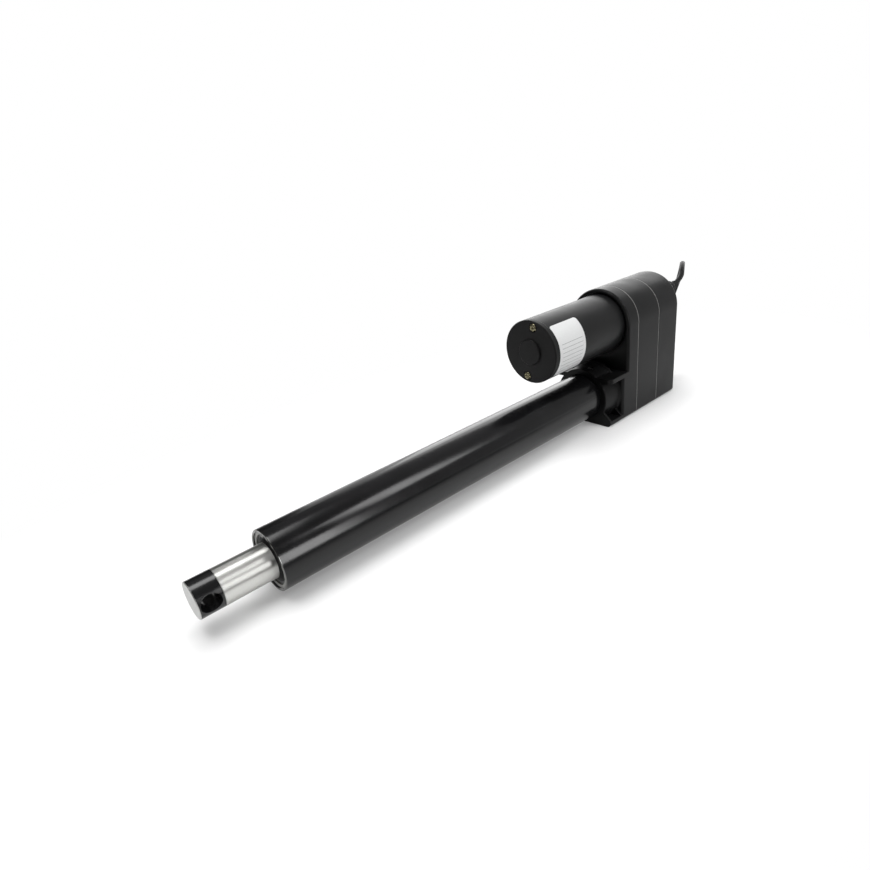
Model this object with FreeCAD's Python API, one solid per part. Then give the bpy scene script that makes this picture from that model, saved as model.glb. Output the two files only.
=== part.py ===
import FreeCAD, Part
import math
import os

# Electric linear actuator: a motor beside the tube drives a lead screw through two pairs of spur gears.
# Everything is laid out from the screw axis (y = 0, z = 0) and the gearbox's front face (x = 0), rod end to -X,
# gearbox to +X. The last section moves the whole part so that it stands on z = 0, centred on its own length.

Vector = FreeCAD.Vector
X_AXIS = Vector(1, 0, 0)
Y_AXIS = Vector(0, 1, 0)
Z_AXIS = Vector(0, 0, 1)

# Clearances
seat_fit = 0.02
running_fit = 0.06
slip_room = 0.3

# Screw, nut and rod
stroke = 300.0
screw_radius = 10.0
thread_room = 0.1
nut_wall = 2.0
nut_spigot = 24.0
nut_flange = 12.0
nut_lip = 1.0
rod_wall = 2.2
rod_end_length = 18.2
rod_end_spigot = 20.0
rod_end_hole = 6.5
rod_end_bevel = 1.2
rod_reach = 58.0
guide_ring_height = 8.62
guide_ring_length = 20.0
end_guide_length = 8.0
end_guide_room = 6.0
retracted_gap = 4.0
stop_room = 30.0

# Outer tube and its mouth
tube_wall = 2.0
tube_seat = 6.0
mouth_bevel = 0.5
bush_length = 45.0
bush_recess = 3.0
wiper_height = 4.2
wiper_depth = 5.0
wiper_lip = 2.2
circlip_thickness = 1.5
circlip_width = 3.4
groove_depth = 0.8
circlip_gap = 9.0
circlip_ear = 2.6

# Gear train
module = 1.0
pressure_angle = math.radians(20)
addendum = 0.9
dedendum = 1.2
backlash = 0.15
motor_teeth = 14
wheel_teeth = 57
pinion_teeth = 31
screw_teeth = 45
first_face = 10.0
second_face = 14.0
gear_gap = 4.0
chamber_front_gap = 2.7
chamber_rear_gap = 2.0
lock_nut_length = 7.5
lock_nut_wall = 4.0
journal_room = 1.1
gear_seat_step = 0.5
rear_journal_step = 1.0
idler_pin_radius = 4.0
idler_bush_wall = 2.0
idler_hub_wall = 2.5
pin_seat = 8.0

# Bearings
bearing_wall = 8.5
bearing_width = 9.0
bearing_race = 2.6
bearing_recess = 0.6
rear_bearing_wall = 8.0
rear_bearing_width = 8.0
bearing_shoulder = 3.5

# Gearbox
housing_wall = 4.0
gear_room = 1.6
socket_wall = 5.5
base_cover = 4.0
front_depth = 18.5
rear_depth = 39.5
gasket_thickness = 0.8
end_wall = 6.0
corner_radius = 4.0
front_rounding = 3.0
rear_rounding = 2.0
screw_boss = 5.5
housing_screw_radius = 2.5
housing_screw_room = 0.25
housing_screw_head = 4.25
housing_screw_head_height = 5.0
housing_screw_inset = 7.0
housing_screw_bite = 9.0
side_screw_drop = 9.5

# Tube socket on the front housing
collar_length = 32.0
lower_step = 9.0
collar_wall = 6.0
collar_draft = 1.5
web_thickness = 4.7
web_top = 24.7
foot_height = 6.6
web_corner = 5.0
rib_thickness = 2.8
boss_toe = 2.0
gusset_drop = 14.0
gusset_reach = 28.0
set_screw_radius = 3.0
set_screw_inset = 8.0
set_screw_lean = 11.0
set_screw_key = 1.7
set_screw_key_depth = 2.5

# Motor
motor_radius = 31.5
can_wall = 2.0
motor_end_room = 6.0
socket_depth = 8.0
socket_lip = 2.3
socket_lip_depth = 2.5
motor_fit = 0.05
cap_thickness = 5.5
cap_spigot = 4.0
cap_groove = 0.8
cap_boss_radius = 13.0
cap_boss_height = 2.0
cap_boss_bevel = 0.8
bolt_radius = 2.0
bolt_wall_room = 2.2
bolt_angle = 101.0
bolt_head_radius = 4.0
bolt_head_height = 2.4
bolt_sink = 1.4
bolt_sink_room = 0.5
bolt_slot = 1.2
bolt_bite = 7.0
shaft_radius = 4.0
motor_bearing_wall = 7.0
motor_bearing_width = 7.0
bearing_floor = 2.0
magnet_thickness = 7.0
magnet_spread = 116.0
magnet_overhang = 5.0
air_gap = 0.8
armature_length = 60.0
armature_slots = 12
slot_width = 3.0
slot_depth = 9.0
winding_length = 12.0
winding_margin = 2.0
commutator_radius = 11.0
commutator_length = 13.0
brush_gap = 0.3
brush_length = 10.0
brush_width = 6.0
brush_holder_thickness = 3.0
brush_box_wall = 1.2

# Limit switches in the tube
strip_width = 9.0
strip_thickness = 1.6
switch_length = 13.0
switch_width = 6.4
switch_height = 5.0
switch_room = 0.5

# Rear clevis
clevis_flange_width = 44.0
clevis_flange_height = 40.0
clevis_flange_thickness = 6.0
clevis_lug_width = 20.0
clevis_eye_offset = 18.2
clevis_eye_radius = 14.0
clevis_hole = 6.5
clevis_screw_radius = 3.0
clevis_screw_head = 4.8
clevis_screw_head_height = 5.0
clevis_screw_bite = 14.0
clevis_screw_y = 16.0
clevis_screw_z = 13.0

# Cable boot and cable
boot_inset = 16.4
boot_rise = 16.8
boot_collar_radius = 8.4
boot_collar_length = 9.0
boot_rounding = 2.0
boot_base_radius = 6.2
boot_tip_radius = 4.2
boot_bend = 40.0
boot_angle = 18.0
cable_radius = 2.95
lead_radius = 1.1
lead_length = 35.0
lead_spread = 2.4
coil_radius = 35.0
coil_turns = 3.75
tie_width = 5.0
tie_thickness = 1.2
tie_room = 0.3
coil_centre = Vector(306.0, 59.9, 0)
cable_route = [
    Vector(288.16, -20.6, 121.26),
    Vector(302.9, -20.6, 126.05),
    Vector(314.2, -14.8, 135.0),
    Vector(327.5, -7.5, 140.0),
    Vector(340.8, 0.6, 138.4),
    Vector(351.2, 7.4, 129.2),
    Vector(357.2, 12.6, 114.2),
    Vector(358.9, 18.0, 96.0),
    Vector(359.0, 22.2, 77.6),
    Vector(358.4, 25.4, 59.8),
    Vector(357.6, 28.5, 41.8),
    Vector(356.4, 33.2, 22.5),
    Vector(353.2, 41.8, 10.7),
    Vector(347.8, 54.2, 4.15),
    Vector(338.8, 72.1, 4.15),
]

# Radii from the screw outwards
nut_bore = screw_radius + thread_room
nut_spigot_radius = nut_bore + nut_wall
rod_inner = nut_spigot_radius + seat_fit
rod_radius = rod_inner + rod_wall
nut_flange_radius = rod_radius + nut_lip
guide_ring_radius = rod_radius + guide_ring_height
tube_inner = guide_ring_radius + running_fit
tube_radius = tube_inner + tube_wall
collar_radius = tube_radius + seat_fit + collar_wall

# Gear radii and the shafts' heights above the screw
motor_pitch = module * motor_teeth / 2
wheel_pitch = module * wheel_teeth / 2
pinion_pitch = module * pinion_teeth / 2
screw_pitch = module * screw_teeth / 2
wheel_tip = wheel_pitch + addendum * module
screw_tip = screw_pitch + addendum * module
idler_z = screw_pitch + pinion_pitch
motor_z = idler_z + motor_pitch + wheel_pitch
journal_radius = idler_z - wheel_tip - journal_room
gear_seat_radius = journal_radius - gear_seat_step
rear_journal = gear_seat_radius - rear_journal_step
bearing_radius = journal_radius + bearing_wall
rear_bearing_radius = rear_journal + rear_bearing_wall
idler_bush_radius = idler_pin_radius + running_fit + idler_bush_wall
idler_hub_radius = idler_bush_radius + seat_fit + idler_hub_wall
motor_bearing_radius = shaft_radius + motor_bearing_wall

# Gearbox outline
half_width = max(motor_radius + socket_wall, wheel_tip + gear_room + housing_wall)
base_z = -max(tube_radius + base_cover, screw_tip + gear_room + housing_wall)

# Places along the gearbox
front_end = front_depth
middle_start = front_end + gasket_thickness
first_gear_x = middle_start + chamber_front_gap
second_gear_x = first_gear_x + first_face + gear_gap
lock_nut_x = second_gear_x + second_face
middle_end = lock_nut_x + lock_nut_length + chamber_rear_gap
rear_start = middle_end + gasket_thickness
rear_end = rear_start + rear_depth
end_wall_x = rear_end - end_wall
bearing_x = front_end - bearing_width
rear_bearing_x = rear_start + chamber_rear_gap

# Places along the tube, with the rod drawn in
nut_rear_x = -retracted_gap
nut_step_x = nut_rear_x - nut_flange
ring_front_x = nut_step_x - guide_ring_length
spigot_front_x = nut_step_x - nut_spigot
bush_rear_x = ring_front_x - stroke - stop_room
bush_front_x = bush_rear_x - bush_length
tube_front_x = bush_front_x - bush_recess
rod_front_x = tube_front_x - rod_reach
rod_seam_x = rod_front_x + rod_end_length
end_guide_x = spigot_front_x - stroke - end_guide_room
screw_front_x = end_guide_x - end_guide_length
collar_front_x = -collar_length

# Places along the motor
motor_seat_x = socket_depth
armature_stack = armature_length + 2 * winding_length + commutator_length + brush_holder_thickness
can_length = cap_spigot + armature_stack + 3 * winding_margin + motor_end_room
can_front_x = motor_seat_x - can_length
cap_face_x = can_front_x - cap_thickness
boss_face_x = cap_face_x - cap_boss_height
bolt_seat_x = cap_face_x + bolt_sink
can_inner = motor_radius - can_wall
magnet_inner = can_inner - seat_fit - magnet_thickness
armature_radius = magnet_inner - air_gap
bolt_circle = can_inner - bolt_radius - bolt_wall_room
rear_motor_bearing_x = boss_face_x + bearing_floor
brush_plate_x = can_front_x + cap_spigot
commutator_x = brush_plate_x + brush_holder_thickness + winding_margin
armature_x = commutator_x + commutator_length + winding_length + 2 * winding_margin
magnet_x = armature_x - magnet_overhang
magnet_length = armature_length + 2 * magnet_overhang
shaft_end_x = first_gear_x + first_face

# Rear clevis and the part's own frame
clevis_start = rear_end
eye_x = clevis_start + clevis_flange_thickness + clevis_eye_offset
clevis_end = eye_x + clevis_eye_radius
boot_y = -half_width + boot_inset
boot_z = motor_z + boot_rise
frame_shift = Vector(-(rod_front_x + clevis_end) / 2, 0, -base_z)


def rod_along_x(radius, start, end, y=0.0, z=0.0):
    """A round bar along X from one place to another."""
    return Part.makeCylinder(radius, end - start, Vector(start, y, z), X_AXIS)


def ring_along_x(outer, inner, start, end, y=0.0, z=0.0):
    """A plain ring or tube along X."""
    return rod_along_x(outer, start, end, y, z).cut(rod_along_x(inner, start, end, y, z))


def turned(profile, z=0.0):
    """A turned piece: a closed profile of (x, radius) points, turned about the X line at height z."""
    points = [Vector(x, 0, z + radius) for x, radius in profile]
    face = Part.Face(Part.makePolygon(points + points[:1]))
    return face.revolve(Vector(0, 0, z), X_AXIS, 360)


def block(start, end, y_low, y_high, z_low, z_high):
    """A rectangular block."""
    size = Vector(end - start, y_high - y_low, z_high - z_low)
    return Part.makeBox(size.x, size.y, size.z, Vector(start, y_low, z_low))


def plate(points, start, end):
    """A flat outline of (y, z) points, thickened along X."""
    corners = [Vector(start, y, z) for y, z in points]
    face = Part.Face(Part.makePolygon(corners + corners[:1]))
    return face.extrude(Vector(end - start, 0, 0))


def gearbox_face(x, inset=0.0):
    """The gearbox section: square foot with rounded corners, straight sides and a half-round top about the motor."""
    side = half_width - inset
    foot = base_z + inset
    corner = corner_radius
    lean = corner * (1 - math.sqrt(0.5))
    left_foot = Vector(x, -side, foot + corner)
    left_toe = Vector(x, -side + corner, foot)
    right_toe = Vector(x, side - corner, foot)
    right_foot = Vector(x, side, foot + corner)
    right_spring = Vector(x, side, motor_z)
    left_spring = Vector(x, -side, motor_z)
    edges = [
        Part.Arc(left_foot, Vector(x, -side + lean, foot + lean), left_toe).toShape(),
        Part.makeLine(left_toe, right_toe),
        Part.Arc(right_toe, Vector(x, side - lean, foot + lean), right_foot).toShape(),
        Part.makeLine(right_foot, right_spring),
        Part.Arc(right_spring, Vector(x, 0, motor_z + side), left_spring).toShape(),
        Part.makeLine(left_spring, left_foot),
    ]
    return Part.Face(Part.Wire(edges))


def gearbox_block(start, end, inset=0.0):
    """A length of the gearbox section along X."""
    return gearbox_face(start, inset).extrude(Vector(end - start, 0, 0))


def edges_at(shape, x):
    """The edges of a shape that lie in the plane at x."""
    return [e for e in shape.Edges if abs(e.BoundBox.XMin - x) < 1e-6 and abs(e.BoundBox.XMax - x) < 1e-6]


def housing_screw_places():
    """Where the long housing screws stand, as (y, z)."""
    side = half_width - housing_screw_inset
    foot = base_z + housing_screw_inset
    shoulder = motor_z - side_screw_drop
    top = motor_z + half_width - housing_screw_inset
    return [(-side, foot), (side, foot), (-side, shoulder), (side, shoulder), (0, top)]


def bolt_places():
    """Where the two motor bolts stand, as (y, z)."""
    angles = [math.radians(bolt_angle), math.radians(bolt_angle + 180)]
    return [(bolt_circle * math.cos(a), motor_z + bolt_circle * math.sin(a)) for a in angles]


def involute(angle):
    """The involute of a pressure angle."""
    return math.tan(angle) - angle


def gear(teeth, start, end, bore, z, tooth_up):
    """A spur gear with arcs through its involute flanks. tooth_up puts a tooth, or else a gap, where it meshes."""
    pitch = module * teeth / 2
    base = pitch * math.cos(pressure_angle)
    tip = pitch + addendum * module
    root = pitch - dedendum * module
    half_tooth = math.pi / (2 * teeth) - backlash / (4 * pitch)
    flank_foot = max(base, root)

    def lean(radius):
        return half_tooth + involute(pressure_angle) - involute(math.acos(min(1.0, base / radius)))

    def point(radius, angle):
        return Vector(start, radius * math.cos(angle), z + radius * math.sin(angle))

    middle = (flank_foot + tip) / 2
    pitch_angle = 2 * math.pi / teeth
    first = math.pi / 2 if tooth_up else -math.pi / 2 + pitch_angle / 2
    edges = []
    for i in range(teeth):
        a = first + i * pitch_angle
        foot_in = point(flank_foot, a - lean(flank_foot))
        foot_out = point(flank_foot, a + lean(flank_foot))
        tip_in = point(tip, a - lean(tip))
        tip_out = point(tip, a + lean(tip))
        root_in = point(root, a - lean(flank_foot))
        root_out = point(root, a + lean(flank_foot))
        root_next = point(root, a + pitch_angle - lean(flank_foot))
        if base > root:
            edges.append(Part.makeLine(root_in, foot_in))
        edges.append(Part.Arc(foot_in, point(middle, a - lean(middle)), tip_in).toShape())
        edges.append(Part.makeLine(tip_in, tip_out))
        edges.append(Part.Arc(tip_out, point(middle, a + lean(middle)), foot_out).toShape())
        if base > root:
            edges.append(Part.makeLine(foot_out, root_out))
        edges.append(Part.makeLine(root_out, root_next))
    blank = Part.Face(Part.Wire(edges)).extrude(Vector(end - start, 0, 0))
    return blank.cut(rod_along_x(bore, start, end, 0, z))


def bearing(inner, outer, start, width, z):
    """A shielded ball bearing: two races standing a little proud of the shields between them."""
    shield_in = inner + bearing_race
    shield_out = outer - bearing_race
    end = start + width
    profile = [
        (start, inner),
        (end, inner),
        (end, shield_in),
        (end - bearing_recess, shield_in),
        (end - bearing_recess, shield_out),
        (end, shield_out),
        (end, outer),
        (start, outer),
        (start, shield_out),
        (start + bearing_recess, shield_out),
        (start + bearing_recess, shield_in),
        (start, shield_in),
    ]
    return turned(profile, z)


def hex_prism(radius, start, end):
    """A hexagon on the screw axis, given by its corner radius."""
    points = [(radius * math.cos(k * math.pi / 3), radius * math.sin(k * math.pi / 3)) for k in range(6)]
    return plate(points, start, end)


# Tube, rod and nut
def outer_tube():
    groove_start = bush_front_x - circlip_thickness
    profile = [
        (tube_front_x, tube_inner + mouth_bevel),
        (tube_front_x + mouth_bevel, tube_inner),
        (groove_start, tube_inner),
        (groove_start, tube_inner + groove_depth),
        (bush_front_x, tube_inner + groove_depth),
        (bush_front_x, tube_inner),
        (tube_seat, tube_inner),
        (tube_seat, tube_radius),
        (tube_front_x + mouth_bevel, tube_radius),
        (tube_front_x, tube_radius - mouth_bevel),
    ]
    return turned(profile)


def front_bush():
    inner = rod_radius + running_fit
    outer = tube_inner - seat_fit
    pocket = rod_radius + wiper_height
    profile = [
        (bush_front_x, pocket),
        (bush_front_x + wiper_depth, pocket),
        (bush_front_x + wiper_depth, inner),
        (bush_rear_x, inner),
        (bush_rear_x, outer),
        (bush_front_x, outer),
    ]
    return turned(profile)


def wiper_seal():
    inner = rod_radius + running_fit
    outer = rod_radius + wiper_height - seat_fit
    waist = (inner + outer) / 2
    profile = [
        (bush_front_x + wiper_depth, inner),
        (bush_front_x + wiper_depth, outer),
        (bush_front_x, outer),
        (bush_front_x, waist),
        (bush_front_x - wiper_lip, inner + running_fit),
        (bush_front_x - wiper_lip, inner),
    ]
    return turned(profile)


def circlip():
    outer = tube_inner + groove_depth - seat_fit
    inner = tube_inner + groove_depth - circlip_width
    start = bush_front_x - circlip_thickness + seat_fit
    end = bush_front_x - seat_fit
    ring = ring_along_x(outer, inner, start, end)
    gap = block(start, end, -circlip_gap / 2, circlip_gap / 2, 0, outer)
    ear_y = circlip_gap / 2
    ears = [rod_along_x(circlip_ear, start, end, side * ear_y, inner) for side in (-1, 1)]
    holes = [rod_along_x(circlip_ear / 2, start, end, side * ear_y, inner) for side in (-1, 1)]
    clip = ring.cut(gap).multiFuse(ears).common(rod_along_x(outer, start, end))
    return clip.cut(Part.makeCompound(holes)).removeSplitter()


def inner_tube():
    profile = [
        (rod_seam_x, rod_inner),
        (rod_seam_x, rod_radius - mouth_bevel),
        (rod_seam_x + mouth_bevel, rod_radius),
        (nut_step_x, rod_radius),
        (nut_step_x, rod_inner),
    ]
    return turned(profile)


def rod_end():
    spigot = rod_inner - seat_fit
    profile = [
        (rod_front_x, 0),
        (rod_front_x, rod_radius - mouth_bevel),
        (rod_front_x + mouth_bevel, rod_radius),
        (rod_seam_x, rod_radius),
        (rod_seam_x, spigot),
        (rod_seam_x + rod_end_spigot, spigot),
        (rod_seam_x + rod_end_spigot, 0),
    ]
    return turned(profile).cut(pin_hole(rod_front_x + rod_end_length / 2, rod_radius))


def pin_hole(x, reach):
    """The drill for the rod end's pin, along Y, with a countersink at each mouth."""
    depth = 2 * rod_end_bevel
    wide = rod_end_hole + rod_end_bevel
    points = [
        Vector(x, -reach, 0),
        Vector(x + wide, -reach, 0),
        Vector(x + rod_end_hole, -reach + depth, 0),
        Vector(x + rod_end_hole, reach - depth, 0),
        Vector(x + wide, reach, 0),
        Vector(x, reach, 0),
    ]
    face = Part.Face(Part.makePolygon(points + points[:1]))
    return face.revolve(Vector(x, 0, 0), Y_AXIS, 360)


def drive_nut():
    profile = [
        (nut_rear_x, nut_bore),
        (nut_rear_x, nut_flange_radius),
        (nut_step_x, nut_flange_radius),
        (nut_step_x, nut_spigot_radius),
        (spigot_front_x, nut_spigot_radius),
        (spigot_front_x, nut_bore),
    ]
    return turned(profile)


def strip_floor():
    """The height at which the switch strip's edges meet the inside of the tube."""
    return -math.sqrt(tube_inner**2 - (strip_width / 2) ** 2) + running_fit


def guide_ring():
    ring = ring_along_x(guide_ring_radius, rod_radius + seat_fit, ring_front_x, nut_step_x)
    half_slot = strip_width / 2 + switch_room
    slot_roof = strip_floor() + strip_thickness + switch_height + switch_room
    slot = block(ring_front_x, nut_step_x, -half_slot, half_slot, -guide_ring_radius, slot_roof)
    return ring.cut(slot)


# Limit switches
def switch_strip():
    floor = strip_floor()
    half = strip_width / 2
    return block(bush_rear_x, tube_seat, -half, half, floor, floor + strip_thickness)


def limit_switches():
    top = strip_floor() + strip_thickness
    half = switch_width / 2
    middle = (ring_front_x + nut_step_x - switch_length) / 2
    places = [middle, middle - stroke]
    return Part.makeCompound([block(x, x + switch_length, -half, half, top, top + switch_height) for x in places])


# Lead screw and its gear
def lead_screw():
    journal_start = bearing_x
    seat_end = lock_nut_x + lock_nut_length
    rear_tip = rear_bearing_x + rear_bearing_width
    profile = [
        (screw_front_x, 0),
        (screw_front_x, screw_radius / 2),
        (end_guide_x, screw_radius / 2),
        (end_guide_x, screw_radius),
        (journal_start, screw_radius),
        (journal_start, journal_radius),
        (second_gear_x, journal_radius),
        (second_gear_x, gear_seat_radius),
        (seat_end, gear_seat_radius),
        (seat_end, rear_journal),
        (rear_tip, rear_journal),
        (rear_tip, 0),
    ]
    return turned(profile)


def screw_end_guide():
    return ring_along_x(rod_inner - running_fit, screw_radius / 2 + seat_fit, screw_front_x, end_guide_x)


def screw_gear():
    return gear(screw_teeth, second_gear_x, lock_nut_x, gear_seat_radius + seat_fit, 0, True)


def screw_lock_nut():
    corner = gear_seat_radius + lock_nut_wall
    nut = hex_prism(corner, lock_nut_x, lock_nut_x + lock_nut_length)
    return nut.cut(rod_along_x(gear_seat_radius + seat_fit, lock_nut_x, lock_nut_x + lock_nut_length))


def screw_bearing_front():
    return bearing(journal_radius + seat_fit, bearing_radius - seat_fit, bearing_x, bearing_width, 0)


def screw_bearing_rear():
    inner = rear_journal + seat_fit
    return bearing(inner, rear_bearing_radius - seat_fit, rear_bearing_x, rear_bearing_width, 0)


# Idler
def idler_hub_start():
    return front_end + slip_room


def idler_hub_end():
    return rear_start - slip_room


def idler_pinion():
    teeth = gear(pinion_teeth, second_gear_x, lock_nut_x, idler_bush_radius + seat_fit, idler_z, False)
    hub_start = first_gear_x
    hub = ring_along_x(
        idler_hub_radius, idler_bush_radius + seat_fit, hub_start, idler_hub_end(), 0, idler_z
    )
    return teeth.fuse(hub).removeSplitter()


def idler_wheel():
    return gear(wheel_teeth, first_gear_x, first_gear_x + first_face, idler_hub_radius + seat_fit, idler_z, True)


def idler_bush():
    inner = idler_pin_radius + running_fit
    return ring_along_x(idler_bush_radius, inner, idler_hub_start(), idler_hub_end(), 0, idler_z)


def idler_pin():
    return rod_along_x(idler_pin_radius, front_end - pin_seat, rear_start + pin_seat, 0, idler_z)


# Motor
def motor_can():
    return ring_along_x(motor_radius, can_inner, can_front_x, motor_seat_x, 0, motor_z)


def motor_end_cap():
    pocket = motor_bearing_radius
    groove = motor_radius - cap_groove
    spigot = can_inner - seat_fit
    profile = [
        (boss_face_x, 0),
        (boss_face_x, cap_boss_radius - cap_boss_bevel),
        (boss_face_x + cap_boss_bevel, cap_boss_radius),
        (cap_face_x, cap_boss_radius),
        (cap_face_x, groove),
        (cap_face_x + cap_groove, motor_radius),
        (can_front_x, motor_radius),
        (can_front_x, spigot),
        (brush_plate_x, spigot),
        (brush_plate_x, pocket),
        (rear_motor_bearing_x, pocket),
        (rear_motor_bearing_x, 0),
    ]
    body = turned(profile, motor_z)
    for y, z in bolt_places():
        body = body.cut(rod_along_x(bolt_radius + seat_fit, cap_face_x, brush_plate_x, y, z))
        body = body.cut(rod_along_x(bolt_head_radius + bolt_sink_room, cap_face_x, bolt_seat_x, y, z))
    return body


def motor_bolts():
    bolts = []
    for y, z in bolt_places():
        shank = rod_along_x(bolt_radius, bolt_seat_x, motor_seat_x + bolt_bite, y, z)
        head = rod_along_x(bolt_head_radius, bolt_seat_x - bolt_head_height, bolt_seat_x, y, z)
        slot = block(
            bolt_seat_x - bolt_head_height,
            bolt_seat_x - bolt_head_height / 2,
            y - bolt_head_radius,
            y + bolt_head_radius,
            z - bolt_slot / 2,
            z + bolt_slot / 2,
        )
        bolts.append(shank.fuse(head).removeSplitter().cut(slot))
    return Part.makeCompound(bolts)


def motor_bearing_rear():
    inner = shaft_radius + seat_fit
    outer = motor_bearing_radius - seat_fit
    return bearing(inner, outer, rear_motor_bearing_x, motor_bearing_width, motor_z)


def motor_bearing_front():
    inner = shaft_radius + seat_fit
    outer = motor_bearing_radius - seat_fit
    return bearing(inner, outer, motor_seat_x, motor_bearing_width, motor_z)


def motor_magnets():
    ring = ring_along_x(can_inner - seat_fit, magnet_inner, magnet_x, magnet_x + magnet_length, 0, motor_z)
    reach = 2 * motor_radius
    half = math.radians(magnet_spread / 2)
    magnets = []
    for side in (-1, 1):
        corner_y = side * reach * math.cos(half)
        corner_z = reach * math.sin(half)
        wedge = plate(
            [(0, motor_z), (corner_y, motor_z - corner_z), (side * 2 * reach, motor_z), (corner_y, motor_z + corner_z)],
            magnet_x,
            magnet_x + magnet_length,
        )
        magnets.append(ring.common(wedge))
    return Part.makeCompound(magnets)


def brush_holder():
    start = brush_plate_x
    end = start + brush_holder_thickness
    disc = ring_along_x(can_inner - seat_fit, commutator_radius + brush_gap, start, end, 0, motor_z)
    inner = commutator_radius + brush_gap + brush_box_wall
    outer = inner + brush_length - brush_box_wall
    half = brush_width / 2 + seat_fit
    box_end = end + commutator_length
    boxes = []
    for side in (-1, 1):
        y_low, y_high = sorted((side * inner, side * outer))
        shell = block(
            end,
            box_end,
            y_low,
            y_high,
            motor_z - half - brush_box_wall,
            motor_z + half + brush_box_wall,
        )
        bore = block(end + winding_margin, box_end - winding_margin, y_low, y_high, motor_z - half, motor_z + half)
        boxes.append(shell.cut(bore))
    holes = [rod_along_x(bolt_radius + seat_fit, start, end, y, z) for y, z in bolt_places()]
    return disc.multiFuse(boxes).removeSplitter().cut(Part.makeCompound(holes))


def brushes():
    inner = commutator_radius + brush_gap
    outer = inner + brush_length
    start = brush_plate_x + brush_holder_thickness + winding_margin + seat_fit
    end = start + commutator_length - 2 * winding_margin - 2 * seat_fit
    half = brush_width / 2
    parts = []
    for side in (-1, 1):
        y_low, y_high = sorted((side * inner, side * outer))
        brush = block(start, end, y_low, y_high, motor_z - half, motor_z + half)
        parts.append(brush.cut(rod_along_x(inner, start, end, 0, motor_z)))
    return Part.makeCompound(parts)


def rotor_shaft():
    return rod_along_x(shaft_radius, rear_motor_bearing_x + bearing_recess, shaft_end_x, 0, motor_z)


def commutator():
    end = commutator_x + commutator_length
    return ring_along_x(commutator_radius, shaft_radius + seat_fit, commutator_x, end, 0, motor_z)


def armature_core():
    end = armature_x + armature_length
    core = ring_along_x(armature_radius, shaft_radius + seat_fit, armature_x, end, 0, motor_z)
    slots = []
    floor = armature_radius - slot_depth
    for i in range(armature_slots):
        top = floor + 2 * slot_depth
        slot = block(armature_x, end, floor, top, motor_z - slot_width / 2, motor_z + slot_width / 2)
        slot.rotate(Vector(0, 0, motor_z), X_AXIS, 360.0 * i / armature_slots)
        slots.append(slot)
    return core.cut(Part.makeCompound(slots))


def armature_windings():
    inner = shaft_radius + winding_margin
    outer = armature_radius - winding_margin
    bevel = winding_length / 3
    ends = []
    for start, end in (
        (armature_x, armature_x - winding_length),
        (armature_x + armature_length, armature_x + armature_length + winding_length),
    ):
        step = bevel if end > start else -bevel
        profile = [
            (start, inner),
            (start, outer),
            (end - step, outer),
            (end, outer - bevel),
            (end, inner),
        ]
        ends.append(turned(profile, motor_z))
    return Part.makeCompound(ends)


def motor_pinion():
    return gear(motor_teeth, first_gear_x, shaft_end_x, shaft_radius + seat_fit, motor_z, False)


# Gearbox castings
def gusset_rib(start):
    """A thin rib that slants from the foot's toes up to the round boss."""
    toe = base_z + foot_height
    points = [(-half_width, toe), (half_width, toe), (gusset_reach, -gusset_drop), (-gusset_reach, -gusset_drop)]
    return plate(points, start, start + rib_thickness)


def tube_socket():
    """The ribbed socket that carries the tube: round boss, top web, foot and slanting ribs."""
    boss_end = -lower_step
    boss_root = collar_radius + collar_draft
    boss = turned(
        [
            (collar_front_x, 0),
            (collar_front_x, collar_radius - mouth_bevel),
            (collar_front_x + mouth_bevel, collar_radius),
            (boss_end - boss_toe, boss_root),
            (boss_end, boss_root + boss_toe),
            (boss_end, 0),
        ]
    )
    below = 2 * collar_radius
    boss = boss.cut(block(collar_front_x, boss_end, -below, below, -below, base_z))
    root = boss_end + front_rounding
    foot = block(collar_front_x, root, -half_width, half_width, base_z, base_z + foot_height)
    toes = [e for e in foot.Edges if e.BoundBox.XLength > 1 and e.BoundBox.ZMax < base_z + foot_height / 2]
    foot = foot.makeFillet(corner_radius, toes)
    web = block(collar_front_x, root, -half_width, half_width, web_top - web_thickness, web_top)
    corners = [e for e in web.Edges if e.BoundBox.XMax < boss_end - 1 and e.BoundBox.ZLength > 1]
    web = web.makeFillet(web_corner, corners)
    ribs = [gusset_rib(collar_front_x), gusset_rib(boss_end - rib_thickness)]
    return boss.multiFuse([foot, web] + ribs)


def set_screw_bar(radius, low, high):
    """A bar square to the screw axis, leaning from the top of the tube socket."""
    bar = Part.makeCylinder(radius, high - low, Vector(collar_front_x + set_screw_inset, 0, low), Z_AXIS)
    bar.rotate(Vector(0, 0, 0), X_AXIS, set_screw_lean)
    return bar


def tube_set_screw():
    low = tube_radius + seat_fit
    body = set_screw_bar(set_screw_radius, low, collar_radius)
    key = [
        Vector(set_screw_key * math.cos(k * math.pi / 3), set_screw_key * math.sin(k * math.pi / 3), 0) for k in range(6)
    ]
    socket = Part.Face(Part.makePolygon(key + key[:1])).extrude(Z_AXIS * set_screw_key_depth)
    socket.translate(Vector(collar_front_x + set_screw_inset, 0, collar_radius - set_screw_key_depth))
    socket.rotate(Vector(0, 0, 0), X_AXIS, set_screw_lean)
    return body.cut(socket)


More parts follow.
